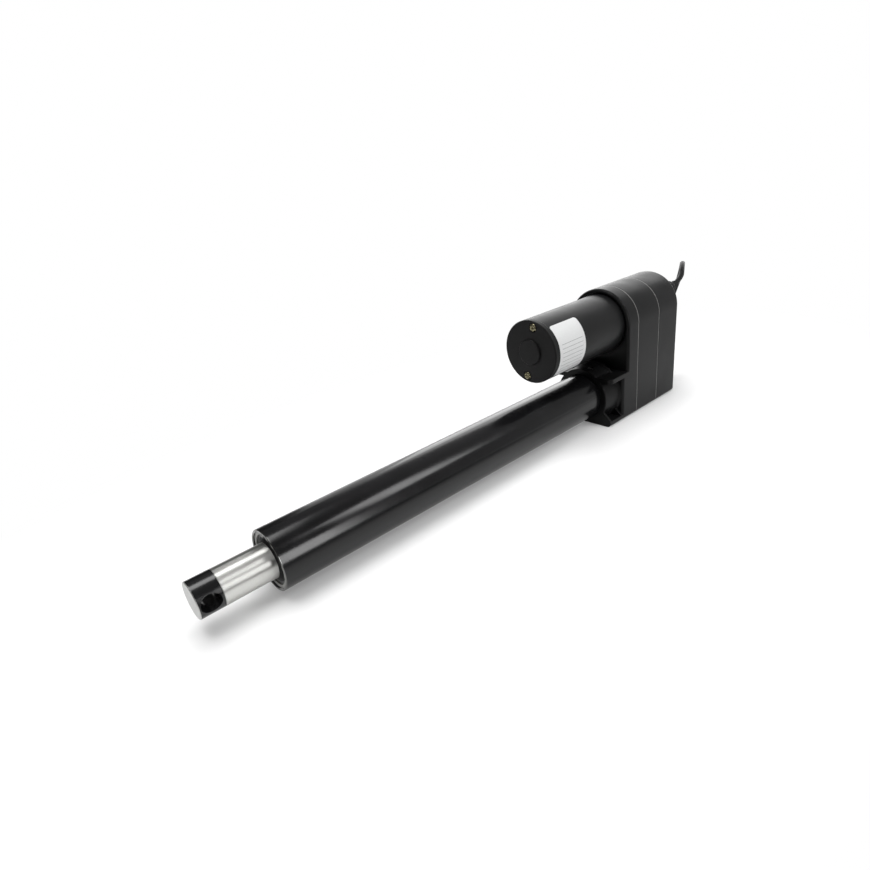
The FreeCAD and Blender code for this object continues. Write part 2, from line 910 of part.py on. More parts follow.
def front_housing():
    upper = gearbox_block(0, front_end)
    upper = upper.makeFillet(front_rounding, edges_at(upper, 0))
    lower = gearbox_block(-lower_step, front_end)
    reach = 2 * half_width
    lower = lower.cut(block(-lower_step, front_end, -reach, reach, web_top, motor_z + reach))
    sides = [e for e in edges_at(lower, -lower_step) if e.BoundBox.ZLength > corner_radius + 1]
    lower = lower.makeFillet(front_rounding, sides)
    body = upper.multiFuse([lower, tube_socket()]).removeSplitter()
    cuts = [
        rod_along_x(tube_radius + seat_fit, collar_front_x, tube_seat),
        rod_along_x(bearing_radius - bearing_shoulder, tube_seat, bearing_x),
        rod_along_x(bearing_radius, bearing_x, front_end),
        rod_along_x(motor_radius + motor_fit, 0, motor_seat_x, 0, motor_z),
        rod_along_x(motor_radius + socket_lip, 0, socket_lip_depth, 0, motor_z),
        rod_along_x(motor_bearing_radius, motor_seat_x, motor_seat_x + motor_bearing_width, 0, motor_z),
        rod_along_x(motor_bearing_radius - bearing_race, motor_seat_x, front_end, 0, motor_z),
        rod_along_x(idler_pin_radius + seat_fit, front_end - pin_seat, front_end, 0, idler_z),
        set_screw_bar(set_screw_radius + seat_fit, tube_inner, 2 * collar_radius - tube_inner),
    ]
    for y, z in bolt_places():
        cuts.append(rod_along_x(bolt_radius + seat_fit, motor_seat_x, motor_seat_x + bolt_bite, y, z))
    for y, z in housing_screw_places():
        cuts.append(rod_along_x(housing_screw_radius + seat_fit, front_end - housing_screw_bite, front_end, y, z))
    for cut in cuts:
        body = body.cut(cut)
    return body


def screw_boss_columns(start, end):
    """The columns that the long screws pass through, trimmed to the gearbox outline."""
    columns = [rod_along_x(screw_boss, start, end, y, z) for y, z in housing_screw_places()]
    return Part.makeCompound(columns).common(gearbox_block(start, end, housing_wall / 2))


def screw_holes(start, end):
    """Clearance holes for the long screws."""
    radius = housing_screw_radius + housing_screw_room
    return Part.makeCompound([rod_along_x(radius, start, end, y, z) for y, z in housing_screw_places()])


def housing_ring(start, end):
    """A length of the gearbox wall with its screw columns."""
    wall = gearbox_block(start, end).cut(gearbox_block(start, end, housing_wall))
    return wall.fuse(screw_boss_columns(start, end)).removeSplitter().cut(screw_holes(start, end))


def front_gasket():
    return housing_ring(front_end, middle_start)


def middle_housing():
    return housing_ring(middle_start, middle_end)


def rear_gasket():
    return housing_ring(middle_end, rear_start)


def rear_cover():
    shell = gearbox_block(rear_start, rear_end)
    shell = shell.makeFillet(rear_rounding, edges_at(shell, rear_end))
    shell = shell.cut(gearbox_block(rear_start, end_wall_x, housing_wall))
    inside = gearbox_block(rear_start, end_wall_x, housing_wall / 2)
    boss_radius = math.hypot(clevis_screw_y, clevis_screw_z) + clevis_screw_radius + housing_wall
    thrust_boss = rod_along_x(boss_radius, rear_bearing_x, end_wall_x).common(inside)
    pin_boss = rod_along_x(idler_pin_radius + housing_wall, rear_start, end_wall_x, 0, idler_z)
    columns = screw_boss_columns(rear_start, end_wall_x)
    body = shell.multiFuse([thrust_boss, pin_boss, columns]).removeSplitter()
    bearing_end = rear_bearing_x + rear_bearing_width
    cuts = [
        rod_along_x(rear_bearing_radius, rear_bearing_x, bearing_end),
        rod_along_x(idler_pin_radius + seat_fit, rear_start, rear_start + pin_seat, 0, idler_z),
        rod_along_x(boot_tip_radius, end_wall_x, rear_end, boot_y, boot_z),
        screw_holes(rear_start, rear_end),
    ]
    head_room = housing_screw_head + housing_screw_room
    for y, z in housing_screw_places():
        cuts.append(rod_along_x(head_room, rear_end - housing_screw_head_height, rear_end, y, z))
    for y, z in clevis_screw_places():
        cuts.append(rod_along_x(clevis_screw_radius + seat_fit, rear_end - clevis_screw_bite, rear_end, y, z))
    for cut in cuts:
        body = body.cut(cut)
    return body


def housing_screws():
    screws = []
    seat = rear_end - housing_screw_head_height
    for y, z in housing_screw_places():
        shank = rod_along_x(housing_screw_radius, front_end - housing_screw_bite, seat, y, z)
        head = rod_along_x(housing_screw_head, seat, rear_end, y, z)
        key = hex_prism(housing_screw_head / 2, rear_end - housing_screw_head_height / 2, rear_end)
        key.translate(Vector(0, y, z))
        screws.append(shank.fuse(head).removeSplitter().cut(key))
    return Part.makeCompound(screws)


# Rear clevis
def clevis_screw_places():
    """Where the clevis screws stand, as (y, z)."""
    return [(side * clevis_screw_y, rise * clevis_screw_z) for side in (-1, 1) for rise in (-1, 1)]


def rear_clevis():
    seat = clevis_start + clevis_flange_thickness
    half_y = clevis_flange_width / 2
    half_z = clevis_flange_height / 2
    flange = block(clevis_start, seat, -half_y, half_y, -half_z, half_z)
    corners = [e for e in flange.Edges if e.BoundBox.XLength > 1]
    flange = flange.makeFillet(corner_radius, corners)
    half = clevis_lug_width / 2
    neck = block(seat, eye_x, -half, half, -clevis_eye_radius, clevis_eye_radius)
    eye = Part.makeCylinder(clevis_eye_radius, clevis_lug_width, Vector(eye_x, -half, 0), Y_AXIS)
    hole = Part.makeCylinder(clevis_hole, clevis_lug_width, Vector(eye_x, -half, 0), Y_AXIS)
    body = flange.multiFuse([neck, eye]).removeSplitter().cut(hole)
    radius = clevis_screw_radius + housing_screw_room
    holes = [rod_along_x(radius, clevis_start, seat, y, z) for y, z in clevis_screw_places()]
    return body.cut(Part.makeCompound(holes))


def clevis_screws():
    seat = clevis_start + clevis_flange_thickness
    top = seat + clevis_screw_head_height
    screws = []
    for y, z in clevis_screw_places():
        shank = rod_along_x(clevis_screw_radius, rear_end - clevis_screw_bite, seat, y, z)
        head = rod_along_x(clevis_screw_head, seat, top, y, z)
        key = hex_prism(clevis_screw_head / 2, top - clevis_screw_head_height / 2, top)
        key.translate(Vector(0, y, z))
        screws.append(shank.fuse(head).removeSplitter().cut(key))
    return Part.makeCompound(screws)


# Cable boot, cable and coil
def boot_section(turn, radius):
    """A round section of the boot, at a share of its bend."""
    angle = math.radians(turn)
    start = rear_end + boot_collar_length
    centre = Vector(start + boot_bend * math.sin(angle), boot_y, boot_z + boot_bend * (1 - math.cos(angle)))
    return Part.Wire(Part.makeCircle(radius, centre, Vector(math.cos(angle), 0, math.sin(angle))))


def cable_boot():
    collar_end = rear_end + boot_collar_length
    collar = rod_along_x(boot_collar_radius, rear_end, collar_end, boot_y, boot_z)
    collar = collar.makeFillet(boot_rounding, edges_at(collar, collar_end))
    steps = 4
    sections = []
    for i in range(steps + 1):
        share = i / steps
        radius = boot_base_radius + (boot_tip_radius - boot_base_radius) * share
        sections.append(boot_section(boot_angle * share, radius))
    sleeve = Part.makeLoft(sections, True, False)
    return collar.fuse(sleeve)


def corner_radii():
    """The bend radius at each inner point of the cable route: 0.45 of the shorter run over tan(half the turn)."""
    radii = []
    for before, here, after in zip(cable_route, cable_route[1:], cable_route[2:]):
        turn = (here - before).getAngle(after - here)
        run = min((here - before).Length, (after - here).Length)
        radii.append(0.45 * run / math.tan(turn / 2))
    return radii


def cable_path():
    """Straight runs joined by tangent arcs."""
    edges = []
    last = cable_route[0]
    for i, radius in enumerate(corner_radii(), start=1):
        here = cable_route[i]
        back = (cable_route[i - 1] - here).normalize()
        ahead = (cable_route[i + 1] - here).normalize()
        half = (math.pi - back.getAngle(ahead)) / 2
        tangent = radius * math.tan(half)
        start = here + back * tangent
        end = here + ahead * tangent
        inward = (back + ahead).normalize()
        centre = here + inward * (radius / math.cos(half))
        edges.append(Part.makeLine(last, start))
        edges.append(Part.Arc(start, centre - inward * radius, end).toShape())
        last = end
    edges.append(Part.makeLine(last, cable_route[-1]))
    return Part.Wire(edges)


def cable():
    path = cable_path()
    direction = cable_route[1] - cable_route[0]
    profile = Part.Wire(Part.makeCircle(cable_radius, cable_route[0], direction))
    tube = path.makePipeShell([profile], True, False)
    expected = math.pi * cable_radius**2 * path.Length
    print("cable bend radii", [round(r, 1) for r in corner_radii()], "length", round(path.Length, 1))
    print("cable volume", round(tube.Volume), "section times length", round(expected))
    return tube


def coil_floor():
    return tie_thickness


def coil_height():
    return 2 * cable_radius * (coil_turns + 1)


def cable_coil():
    outer = coil_radius + cable_radius
    inner = coil_radius - cable_radius
    base = coil_centre + Z_AXIS * coil_floor()
    return Part.makeCylinder(outer, coil_height(), base).cut(Part.makeCylinder(inner, coil_height(), base))


def cable_tie():
    """A flat band round the coil's section, at the side of the coil away from the gearbox."""
    half = tie_width / 2
    low = coil_radius - cable_radius - tie_room
    high = coil_radius + cable_radius + tie_room
    top = coil_floor() + coil_height() + tie_room
    x = coil_centre.x
    y = coil_centre.y
    band = block(x - half, x + half, y + low - tie_thickness, y + high + tie_thickness, 0, top + tie_thickness)
    return band.cut(block(x - half, x + half, y + low, y + high, coil_floor(), top))


def cable_leads():
    """Two insulated leads that leave the end of the coil's top turn."""
    entry = cable_route[-1] - coil_centre
    end_angle = math.atan2(entry.y, entry.x) + 2 * math.pi * coil_turns
    outward = Vector(math.cos(end_angle), math.sin(end_angle), 0)
    heading = Vector(-math.sin(end_angle), math.cos(end_angle), 0)
    height = coil_floor() + cable_radius + 2 * cable_radius * coil_turns
    start = coil_centre + outward * coil_radius + Z_AXIS * height
    leads = []
    for side in (-1, 1):
        offset = outward * (side * lead_spread / 2)
        leads.append(Part.makeCylinder(lead_radius, lead_length, start + offset, heading))
    return Part.makeCompound(leads)


gearbox_parts = [
    outer_tube,
    front_bush,
    wiper_seal,
    circlip,
    switch_strip,
    limit_switches,
    front_housing,
    tube_set_screw,
    front_gasket,
    middle_housing,
    rear_gasket,
    rear_cover,
    housing_screws,
    rear_clevis,
    clevis_screws,
    screw_bearing_front,
    screw_bearing_rear,
    idler_pin,
    motor_can,
    motor_end_cap,
    motor_bolts,
    motor_bearing_rear,
    motor_bearing_front,
    motor_magnets,
    brush_holder,
    brushes,
    cable_boot,
    inner_tube,
    rod_end,
    drive_nut,
    guide_ring,
    lead_screw,
    screw_end_guide,
    screw_gear,
    screw_lock_nut,
    idler_pinion,
    idler_wheel,
    idler_bush,
    rotor_shaft,
    commutator,
    armature_core,
    armature_windings,
    motor_pinion,
]
cord_parts = [cable, cable_coil, cable_tie, cable_leads]

os.makedirs("parts", exist_ok=True)
for make in gearbox_parts:
    make().translated(frame_shift).exportStep(f"parts/{make.__name__}.step")
for make in cord_parts:
    make().exportStep(f"parts/{make.__name__}.step")
print("frame shift", frame_shift, "tube radius", round(tube_radius, 2), "rod radius", round(rod_radius, 2))
print("motor height", motor_z, "half width", half_width, "base", base_z, "rear end", rear_end)
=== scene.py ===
# %% [markdown]
# # An electric linear actuator, dressed for a product picture
# A motor lies on top of a gearbox, and the gearbox turns a screw inside the long tube, so that a
# steel rod slides out of the tube's mouth. The solids come from the CAD model and keep their
# shapes. Blender adds what a solid model leaves out: paint, ground steel, rubber, the label, cut
# screw heads, the screw's thread and the cable. Everything is in metres, in the CAD model's own
# frame: X along the tube, Z up, the gearbox's foot on the floor.

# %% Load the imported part
import math

import bmesh
import bpy
from mathutils import Matrix, Vector


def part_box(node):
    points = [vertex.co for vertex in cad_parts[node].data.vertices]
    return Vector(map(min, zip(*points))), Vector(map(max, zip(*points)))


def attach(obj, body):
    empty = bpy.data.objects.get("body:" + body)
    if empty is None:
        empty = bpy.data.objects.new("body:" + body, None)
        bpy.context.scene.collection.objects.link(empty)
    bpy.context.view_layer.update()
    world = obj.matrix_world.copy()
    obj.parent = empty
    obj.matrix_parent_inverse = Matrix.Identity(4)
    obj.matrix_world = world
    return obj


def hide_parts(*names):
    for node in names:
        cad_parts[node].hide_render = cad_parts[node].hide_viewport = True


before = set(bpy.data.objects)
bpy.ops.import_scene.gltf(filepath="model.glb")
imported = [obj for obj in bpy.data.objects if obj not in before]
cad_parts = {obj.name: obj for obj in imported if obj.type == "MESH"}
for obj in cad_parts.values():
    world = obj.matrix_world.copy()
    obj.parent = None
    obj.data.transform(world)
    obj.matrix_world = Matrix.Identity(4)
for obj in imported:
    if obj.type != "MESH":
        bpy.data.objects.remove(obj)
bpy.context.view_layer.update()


def add_object(name, data):
    """Puts an object with its data into the scene."""
    added = bpy.data.objects.new(name, data)
    bpy.context.collection.objects.link(added)
    return added


def low(name):
    """A solid's lowest corner."""
    return Vector(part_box(name)[0])


def high(name):
    """A solid's highest corner."""
    return Vector(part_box(name)[1])


# %% [markdown]
# ## The camera
# A product picture is taken from close by, so the rod end looks far larger than the gearbox. The
# camera's place and its three directions were worked out from the straight edges and circles seen
# in the picture. Writing them straight into the camera's matrix is safer than turning it by hand,
# because every edge then falls where it should.

# %% Place the camera
camera_place = Vector((-0.36877, -0.36616, 0.27607))
camera_right = Vector((0.74318, -0.65907, -0.11538))
camera_up = Vector((0.35359, 0.24045, 0.90397))
camera_back = Vector((-0.56804, -0.71261, 0.41174))

lens = bpy.data.cameras.new("product_lens")
lens.lens = 24.336
lens.sensor_width = 36.0
lens.clip_start = 0.01
camera = add_object("product_camera", lens)
turn = Matrix((camera_right, camera_up, camera_back)).transposed().to_4x4()
camera.matrix_world = Matrix.Translation(camera_place) @ turn
bpy.context.scene.camera = camera
print("camera stands", round(camera_place.length, 3), "m from the middle of the part")

# %% [markdown]
# ## The cable's line
# A black two-core cable leaves the rubber boot on the gearbox's back, arches over and falls
# behind the part. About one metre is usual for such an actuator, and what the picture doesn't
# show is wound into a neat coil on the floor. A cable is one smooth line with a round section, so
# a NURBS curve with a bevel is the natural tool: its control points are the route, and the curve
# rounds them as a springy jacket would. The coil is more points of that line.

# %% Lay the cable
cable_radius = 0.00295
cable_route = [
    (0.28816, -0.0206, 0.12126),
    (0.3029, -0.0206, 0.12605),
    (0.3146, -0.0149, 0.1332),
    (0.3279, -0.0081, 0.1366),
    (0.3416, -0.0012, 0.1346),
    (0.3522, 0.0052, 0.1258),
    (0.3578, 0.0110, 0.1112),
    (0.3589, 0.0174, 0.0940),
    (0.3590, 0.0222, 0.0776),
    (0.3584, 0.0254, 0.0598),
    (0.3576, 0.0285, 0.0418),
    (0.3564, 0.0332, 0.0225),
    (0.3532, 0.0418, 0.0107),
    (0.3478, 0.0542, 0.00415),
    (0.3388, 0.0721, 0.00415),
]
coil_centre = Vector((0.3060, 0.0599, 0.0))
coil_radius = 0.035
coil_turns = 3.75
points_per_turn = 16
coil_entry = Vector(cable_route[-1]) - coil_centre
first_angle = math.atan2(coil_entry.y, coil_entry.x)


def coil_spot(turns):
    """A point of the coil, after some turns from where the cable enters it."""
    angle = first_angle + 2 * math.pi * turns
    x, y = coil_radius * math.cos(angle), coil_radius * math.sin(angle)
    return coil_centre + Vector((x, y, coil_entry.z + 2 * cable_radius * turns))


coil_points = int(coil_turns * points_per_turn)
coil_spots = [coil_spot(i / points_per_turn) for i in range(1, coil_points + 1)]
line = [Vector(spot) for spot in cable_route] + coil_spots
cable_line = bpy.data.curves.new("power_cable", "CURVE")
cable_line.dimensions = "3D"
cable_line.bevel_depth = cable_radius
cable_line.bevel_resolution = 5
cable_line.resolution_u = 8
cable_line.use_fill_caps = True
spline = cable_line.splines.new("NURBS")
spline.points.add(len(line) - 1)
for point, spot in zip(spline.points, line):
    point.co = (*spot, 1.0)
spline.order_u = 3
spline.use_endpoint_u = True
cable = add_object("power_cable", cable_line)
print("cable points:", len(line), "of which in the coil:", len(coil_spots))

# %% [markdown]
# ## Small helpers for node trees
# Materials and Geometry Nodes are both trees of nodes. A few helpers add a node and fill its
# sockets, either with a value or with a link from another node. Each material then reads like a
# short recipe instead of a page of links.

# %% Helpers for node trees
def fill(tree, target, sockets):
    """Fills a node's sockets, each with a value or with a link from another node."""
    for socket, value in sockets.items():
        if isinstance(value, bpy.types.NodeSocket):
            tree.links.new(value, target.inputs[socket])
        else:
            target.inputs[socket].default_value = value


def node(tree, kind, sockets, **options):
    """Adds a node, sets its options and fills its sockets."""
    made = tree.nodes.new(kind)
    for option, value in options.items():
        setattr(made, option, value)
    fill(tree, made, sockets)
    return made


def calc(tree, operation, *values):
    """The result of a Math node on one, two or three values."""
    return node(tree, "ShaderNodeMath", dict(enumerate(values)), operation=operation).outputs[0]


def vector_calc(tree, operation, *vectors):
    """The outputs of a Vector Math node on one or two vectors."""
    return node(tree, "ShaderNodeVectorMath", dict(enumerate(vectors)), operation=operation).outputs


def split(tree, vector):
    """A vector's X, Y and Z."""
    return node(tree, "ShaderNodeSeparateXYZ", {"Vector": vector}).outputs


def spread(tree, value, start, end, least, most):
    """Takes a value between two marks to a value between two others, and holds it there."""
    sockets = {"Value": value, "From Min": start, "From Max": end, "To Min": least, "To Max": most}
    return node(tree, "ShaderNodeMapRange", sockets).outputs["Result"]


def two_tone(tree, share, first, second):
    """A colour that goes from first to second with a share from 0 to 1."""
    return node(tree, "ShaderNodeMix", {0: share, 6: first, 7: second}, data_type="RGBA").outputs[2]


def noise(tree, place, size, detail):
    """Cloudy noise with patches of a given width, in metres."""
    sockets = {"Vector": place, "Scale": 1 / size, "Detail": detail}
    return node(tree, "ShaderNodeTexNoise", sockets).outputs["Fac"]


def relief(tree, height, depth):
    """A Bump node that raises a pattern by a depth in metres."""
    return node(tree, "ShaderNodeBump", {"Height": height, "Strength": 1.0, "Distance": depth})


def new_finish(name):
    """A material with its tree, its shader and the piece's own coordinates."""
    material = bpy.data.materials.new(name)
    material.use_nodes = True
    tree = material.node_tree
    place = node(tree, "ShaderNodeTexCoord", {}).outputs["Object"]
    return material, tree, tree.nodes["Principled BSDF"], place


print("helpers ready for materials and Geometry Nodes")

# %% [markdown]
# ## A family of finishes
# Paint, castings, machined steel and plastic share a build-up: a colour that drifts a little over
# centimetres, gloss that drifts with it, and a grain far finer. Two noise textures give both.
# What differs is the size of the grain, how high it stands, and the way it runs: a turned shaft
# has its grain drawn out round the axis, powder coat has it alike in all directions. A cast edge
# is never knife sharp either, so the recipe can also round the edges in the shading alone, by the
# radius that the coat builds up there. One recipe with named sizes makes the whole family.

# %% The shared recipe
patch_size = 0.026


def grained(name, colour, gloss, metal=0.0, drift=0.12, gloss_drift=0.05, grain=0.001,
            depth=0.00002, draw=(1, 1, 1), ior=1.45, edge=0.0):
    """A finish with slow drift and a fine grain. Grain, depth and edge are in metres."""
    material, tree, shader, place = new_finish(name)
    slow = noise(tree, place, patch_size, 4.0)
    share = spread(tree, slow, 0.3, 0.7, 0.0, 1.0)
    darker = (*[c * (1 - drift) for c in colour], 1)
    lighter = (*[c * (1 + drift) for c in colour], 1)
    drawn = node(tree, "ShaderNodeMapping", {"Vector": place, "Scale": draw}).outputs["Vector"]
    bump = relief(tree, noise(tree, drawn, grain, 2.0), depth)
    if edge:
        rounded = node(tree, "ShaderNodeBevel", {"Radius": edge}, samples=6)
        fill(tree, bump, {"Normal": rounded.outputs["Normal"]})
    fill(tree, shader, {
        "Base Color": two_tone(tree, share, darker, lighter),
        "Roughness": spread(tree, slow, 0.3, 0.7, gloss - gloss_drift, gloss + gloss_drift),
        "Normal": bump.outputs["Normal"],
        "Metallic": metal,
        "IOR": ior,
    })
    return material


print("recipe ready: grained")

# %% [markdown]
# ## Paint, castings and rubber
# The tube carries wet gloss paint, which shows faint orange peel and sharp highlights. The
# castings have a satin powder coat with a fine pebbled grain, the motor a smoother satin, its end
# cap a duller one. Colours stay dark and plain, because the light and the gloss, not the colour,
# make black metal look black.

# %% Outer finishes
tube_gloss = grained(
    "tube_gloss_black", (0.004, 0.004, 0.0044), 0.2,
    gloss_drift=0.03, grain=0.0014, depth=0.000006, ior=1.4
)
coat_satin = grained(
    "casting_powder_coat", (0.0065, 0.0065, 0.0067), 0.36,
    drift=0.3, gloss_drift=0.07, grain=0.0007, depth=0.00003, ior=1.22, edge=0.0012
)
motor_satin = grained(
    "motor_satin_black", (0.008, 0.008, 0.0083), 0.38, grain=0.0008, depth=0.00001, ior=1.25
)
cap_matt = grained(
    "end_cap_matt_black", (0.006, 0.006, 0.0062), 0.45, grain=0.0007, ior=1.26, edge=0.0006
)
clevis_satin = grained(
    "clevis_satin_black", (0.012, 0.012, 0.0125), 0.45, grain=0.0007, edge=0.0008
)
seal_rubber = grained("seal_rubber", (0.009, 0.009, 0.009), 0.62, grain=0.0005, ior=1.3)
cable_jacket = grained(
    "cable_jacket", (0.008, 0.008, 0.008), 0.5, grain=0.0006, depth=0.000012, ior=1.25
)
gasket_fibre = grained("gasket_fibre", (0.16, 0.16, 0.155), 0.8, grain=0.0004, depth=0.00004)
zinc_plate = grained(
    "zinc_plated_steel", (0.5, 0.5, 0.5), 0.32, 1.0, 0.1, grain=0.0005, depth=0.000006
)
bolt_zinc = grained(
    "bolt_yellow_zinc", (0.24, 0.22, 0.14), 0.26, 1.0, 0.18, grain=0.0005, depth=0.000006
)
clip_steel = grained(
    "clip_bright_steel", (0.34, 0.34, 0.33), 0.5, 1.0, 0.35, grain=0.0005, depth=0.00001
)
tie_nylon = grained("tie_nylon", (0.025, 0.025, 0.026), 0.42, grain=0.0008, depth=0.00001)
bush_polymer = grained("bush_dark_polymer", (0.1, 0.1, 0.1), 0.45, grain=0.0007, depth=0.00001)
print("outer finishes made:", len(bpy.data.materials))

# %% [markdown]
# The tube is cut to length after painting and its clip is pressed in from the front, so the rim
# at its mouth is worn to half bare metal. A second material slot would need the CAD mesh changed.
# Instead the finish compares each point's place along the tube with the mouth's place, and mixes
# the worn metal in there.

# %% The tube's worn rim
rim_depth = 0.0007
rim_metal = (0.16, 0.16, 0.155, 1)
tree = tube_gloss.node_tree
shader = tree.nodes["Principled BSDF"]
place = node(tree, "ShaderNodeTexCoord", {}).outputs["Object"]
worn = calc(tree, "LESS_THAN", split(tree, place)["X"], low("outer_tube").x + rim_depth)
paint = shader.inputs["Base Color"].links[0].from_socket
fill(tree, shader, {"Base Color": two_tone(tree, worn, paint, rim_metal), "Metallic": worn})
print("rim worn", rim_depth * 1000, "mm deep")

# %% [markdown]
# ## The finishes inside
# Nobody sees these with the part closed, but the pieces move and come apart on screen. Gears are
# hobbed, so their grain runs across the teeth, shafts are turned, the nut is cast and machined
# bronze, the laminations are thin sheets stacked along the shaft, and the windings are enamelled
# copper. The same recipe serves, with its grain drawn along the way each piece was cut.

# %% Inner finishes
turned_round = (1, 0.1, 0.1)
cut_along = (0.1, 1, 1)
stacked = (1, 0.02, 0.02)
shaft_steel = grained(
    "shaft_ground_steel", (0.58, 0.58, 0.58), 0.24, 1.0, 0.05,
    grain=0.0006, depth=0.000003, draw=turned_round
)
gear_steel = grained(
    "gear_cut_steel", (0.42, 0.42, 0.43), 0.36, 1.0, 0.1,
    grain=0.0005, depth=0.000006, draw=cut_along
)
bearing_steel = grained(
    "bearing_ground_steel", (0.66, 0.66, 0.67), 0.18, 1.0, 0.05, grain=0.0006, depth=0.000002
)
nut_bronze = grained(
    "nut_bronze", (0.66, 0.44, 0.22), 0.36, 1.0, 0.15,
    grain=0.0006, depth=0.000006, draw=turned_round
)
guide_polymer = grained("guide_polymer", (0.72, 0.7, 0.64), 0.5, grain=0.0007, depth=0.00001)
switch_plastic = grained(
    "switch_plastic", (0.035, 0.035, 0.036), 0.45, grain=0.0006, depth=0.00001
)
magnet_ferrite = grained(
    "magnet_ferrite", (0.07, 0.07, 0.075), 0.6, 0.2, grain=0.0004, depth=0.00003
)
lamination = grained(
    "lamination_stack", (0.33, 0.33, 0.34), 0.45, 1.0, grain=0.0005, depth=0.00003, draw=stacked
)
copper_wire = grained(
    "copper_wire", (0.62, 0.27, 0.13), 0.34, 1.0, 0.2, grain=0.0007, depth=0.00001
)
carbon = grained("brush_carbon", (0.045, 0.045, 0.048), 0.55, grain=0.0004)
board_lacquer = grained("board_green_lacquer", (0.04, 0.17, 0.08), 0.3, grain=0.0012, depth=0.00001)
print("finishes so far:", len(bpy.data.materials))

# %% [markdown]
# ## The rod: ground steel
# The rod is ground while it turns, so fine grooves run round it. Round the rod the steel is then
# nearly a mirror, and along the rod it is dull: lamps are drawn out into long clear bands. An
# even roughness would either blur the bands or show a hard lamp. The shader's anisotropy is made
# for this: a radial tangent runs round the X axis, and a quarter turn of it lays the dull
# direction along the rod. A fine noise, drawn out round the rod, adds the grooves themselves.

# %% The rod's finish
groove_width = 0.0002
groove_depth = 0.0000004
groove_draw = (1, 0.06, 0.06)
rod_polish, tree, shader, place = new_finish("rod_ground_steel")
drawn = node(tree, "ShaderNodeMapping", {"Vector": place, "Scale": groove_draw}).outputs["Vector"]
grooves = noise(tree, drawn, groove_width, 2.0)
tint = spread(tree, noise(tree, place, patch_size, 3.0), 0.3, 0.7, 0.0, 1.0)
fill(tree, shader, {
    "Base Color": two_tone(tree, tint, (0.69, 0.69, 0.665, 1), (0.74, 0.74, 0.715, 1)),
    "Roughness": spread(tree, grooves, 0.3, 0.7, 0.41, 0.51),
    "Normal": relief(tree, grooves, groove_depth).outputs["Normal"],
    "Tangent": node(tree, "ShaderNodeTangent", {}, direction_type="RADIAL", axis="X").outputs[0],
    "Metallic": 0.95,
    "Anisotropic": 0.95,
    "Anisotropic Rotation": 0.25,
})
print("rod grooves", groove_width * 1000, "mm wide")

# %% [markdown]
# ## The rod end: black, with a bare front face
# The rod end is painted black all round, and its front face was turned after painting, so it is
# bare bright metal with a bevelled rim. One material shows both, as on the tube's rim: it
# compares each point's place along the rod with the face's place, and mixes paint and metal there.

# %% The rod end's two finishes
face_front = low("rod_end").x
bare_depth = 0.00055
paint_patch = 0.017
paint_grain, paint_depth = 0.0011, 0.000005
rod_end_finish, tree, shader, place = new_finish("rod_end_black_and_bare")
bare = calc(tree, "LESS_THAN", split(tree, place)["X"], face_front + bare_depth)
clouds = noise(tree, place, paint_patch, 3.0)
painted = two_tone(tree, clouds, (0.004, 0.004, 0.0045, 1), (0.008, 0.008, 0.0085, 1))
fill(tree, shader, {
    "Base Color": two_tone(tree, bare, painted, (0.42, 0.42, 0.41, 1)),
    "Metallic": bare,
    "Roughness": spread(tree, bare, 0.0, 1.0, 0.2, 0.34),
    "Normal": relief(tree, noise(tree, place, paint_grain, 2.0), paint_depth).outputs["Normal"],
    "IOR": 1.5,
})
print("bare face from x =", round(face_front, 4), "to", round(face_front + bare_depth, 4))

# %% [markdown]
# ## Two leads, red and black, with tinned ends
# The cable ends in two thin leads, stripped and tinned for the installer's terminals. Both are
# one CAD node, so the material tells them apart by place: the distance from the coil's middle,
# measured square to the leads, says which lead it is, and the distance along them says where the
# insulation stops.

# %% The leads' finish
end_angle = first_angle + 2 * math.pi * coil_turns
lead_outward = Vector((math.cos(end_angle), math.sin(end_angle), 0))
lead_heading = Vector((-math.sin(end_angle), math.cos(end_angle), 0))
lead_length = 0.035
stripped = 0.007
lead_grain, lead_depth = 0.0005, 0.00001
lead_finish, tree, shader, place = new_finish("lead_insulation")
from_coil = vector_calc(tree, "SUBTRACT", place, coil_centre)["Vector"]


def reach_along(direction):
    """How far a point lies from the coil's middle, in one direction."""
    return vector_calc(tree, "DOT_PRODUCT", from_coil, direction)["Value"]


outer_lead = calc(tree, "GREATER_THAN", reach_along(lead_outward), coil_radius)
tinned = calc(tree, "GREATER_THAN", reach_along(lead_heading), lead_length - stripped)
insulation = two_tone(tree, outer_lead, (0.42, 0.02, 0.02, 1), (0.02, 0.02, 0.02, 1))
fill(tree, shader, {
    "Base Color": two_tone(tree, tinned, insulation, (0.62, 0.6, 0.57, 1)),
    "Metallic": tinned,
    "Roughness": spread(tree, tinned, 0.0, 1.0, 0.45, 0.3),
    "Normal": relief(tree, noise(tree, place, lead_grain, 2.0), lead_depth).outputs["Normal"],
})
print("leads stripped", round(stripped * 1000, 1), "mm from their ends")

# %% [markdown]
# ## Putting the finishes on the CAD solids
# Each solid keeps its mesh and only gets a better material in its slot. A table from finish to
# solids shows at a glance which pieces share a finish, as a maker's parts list does, and a solid
# left out of it is printed at once.

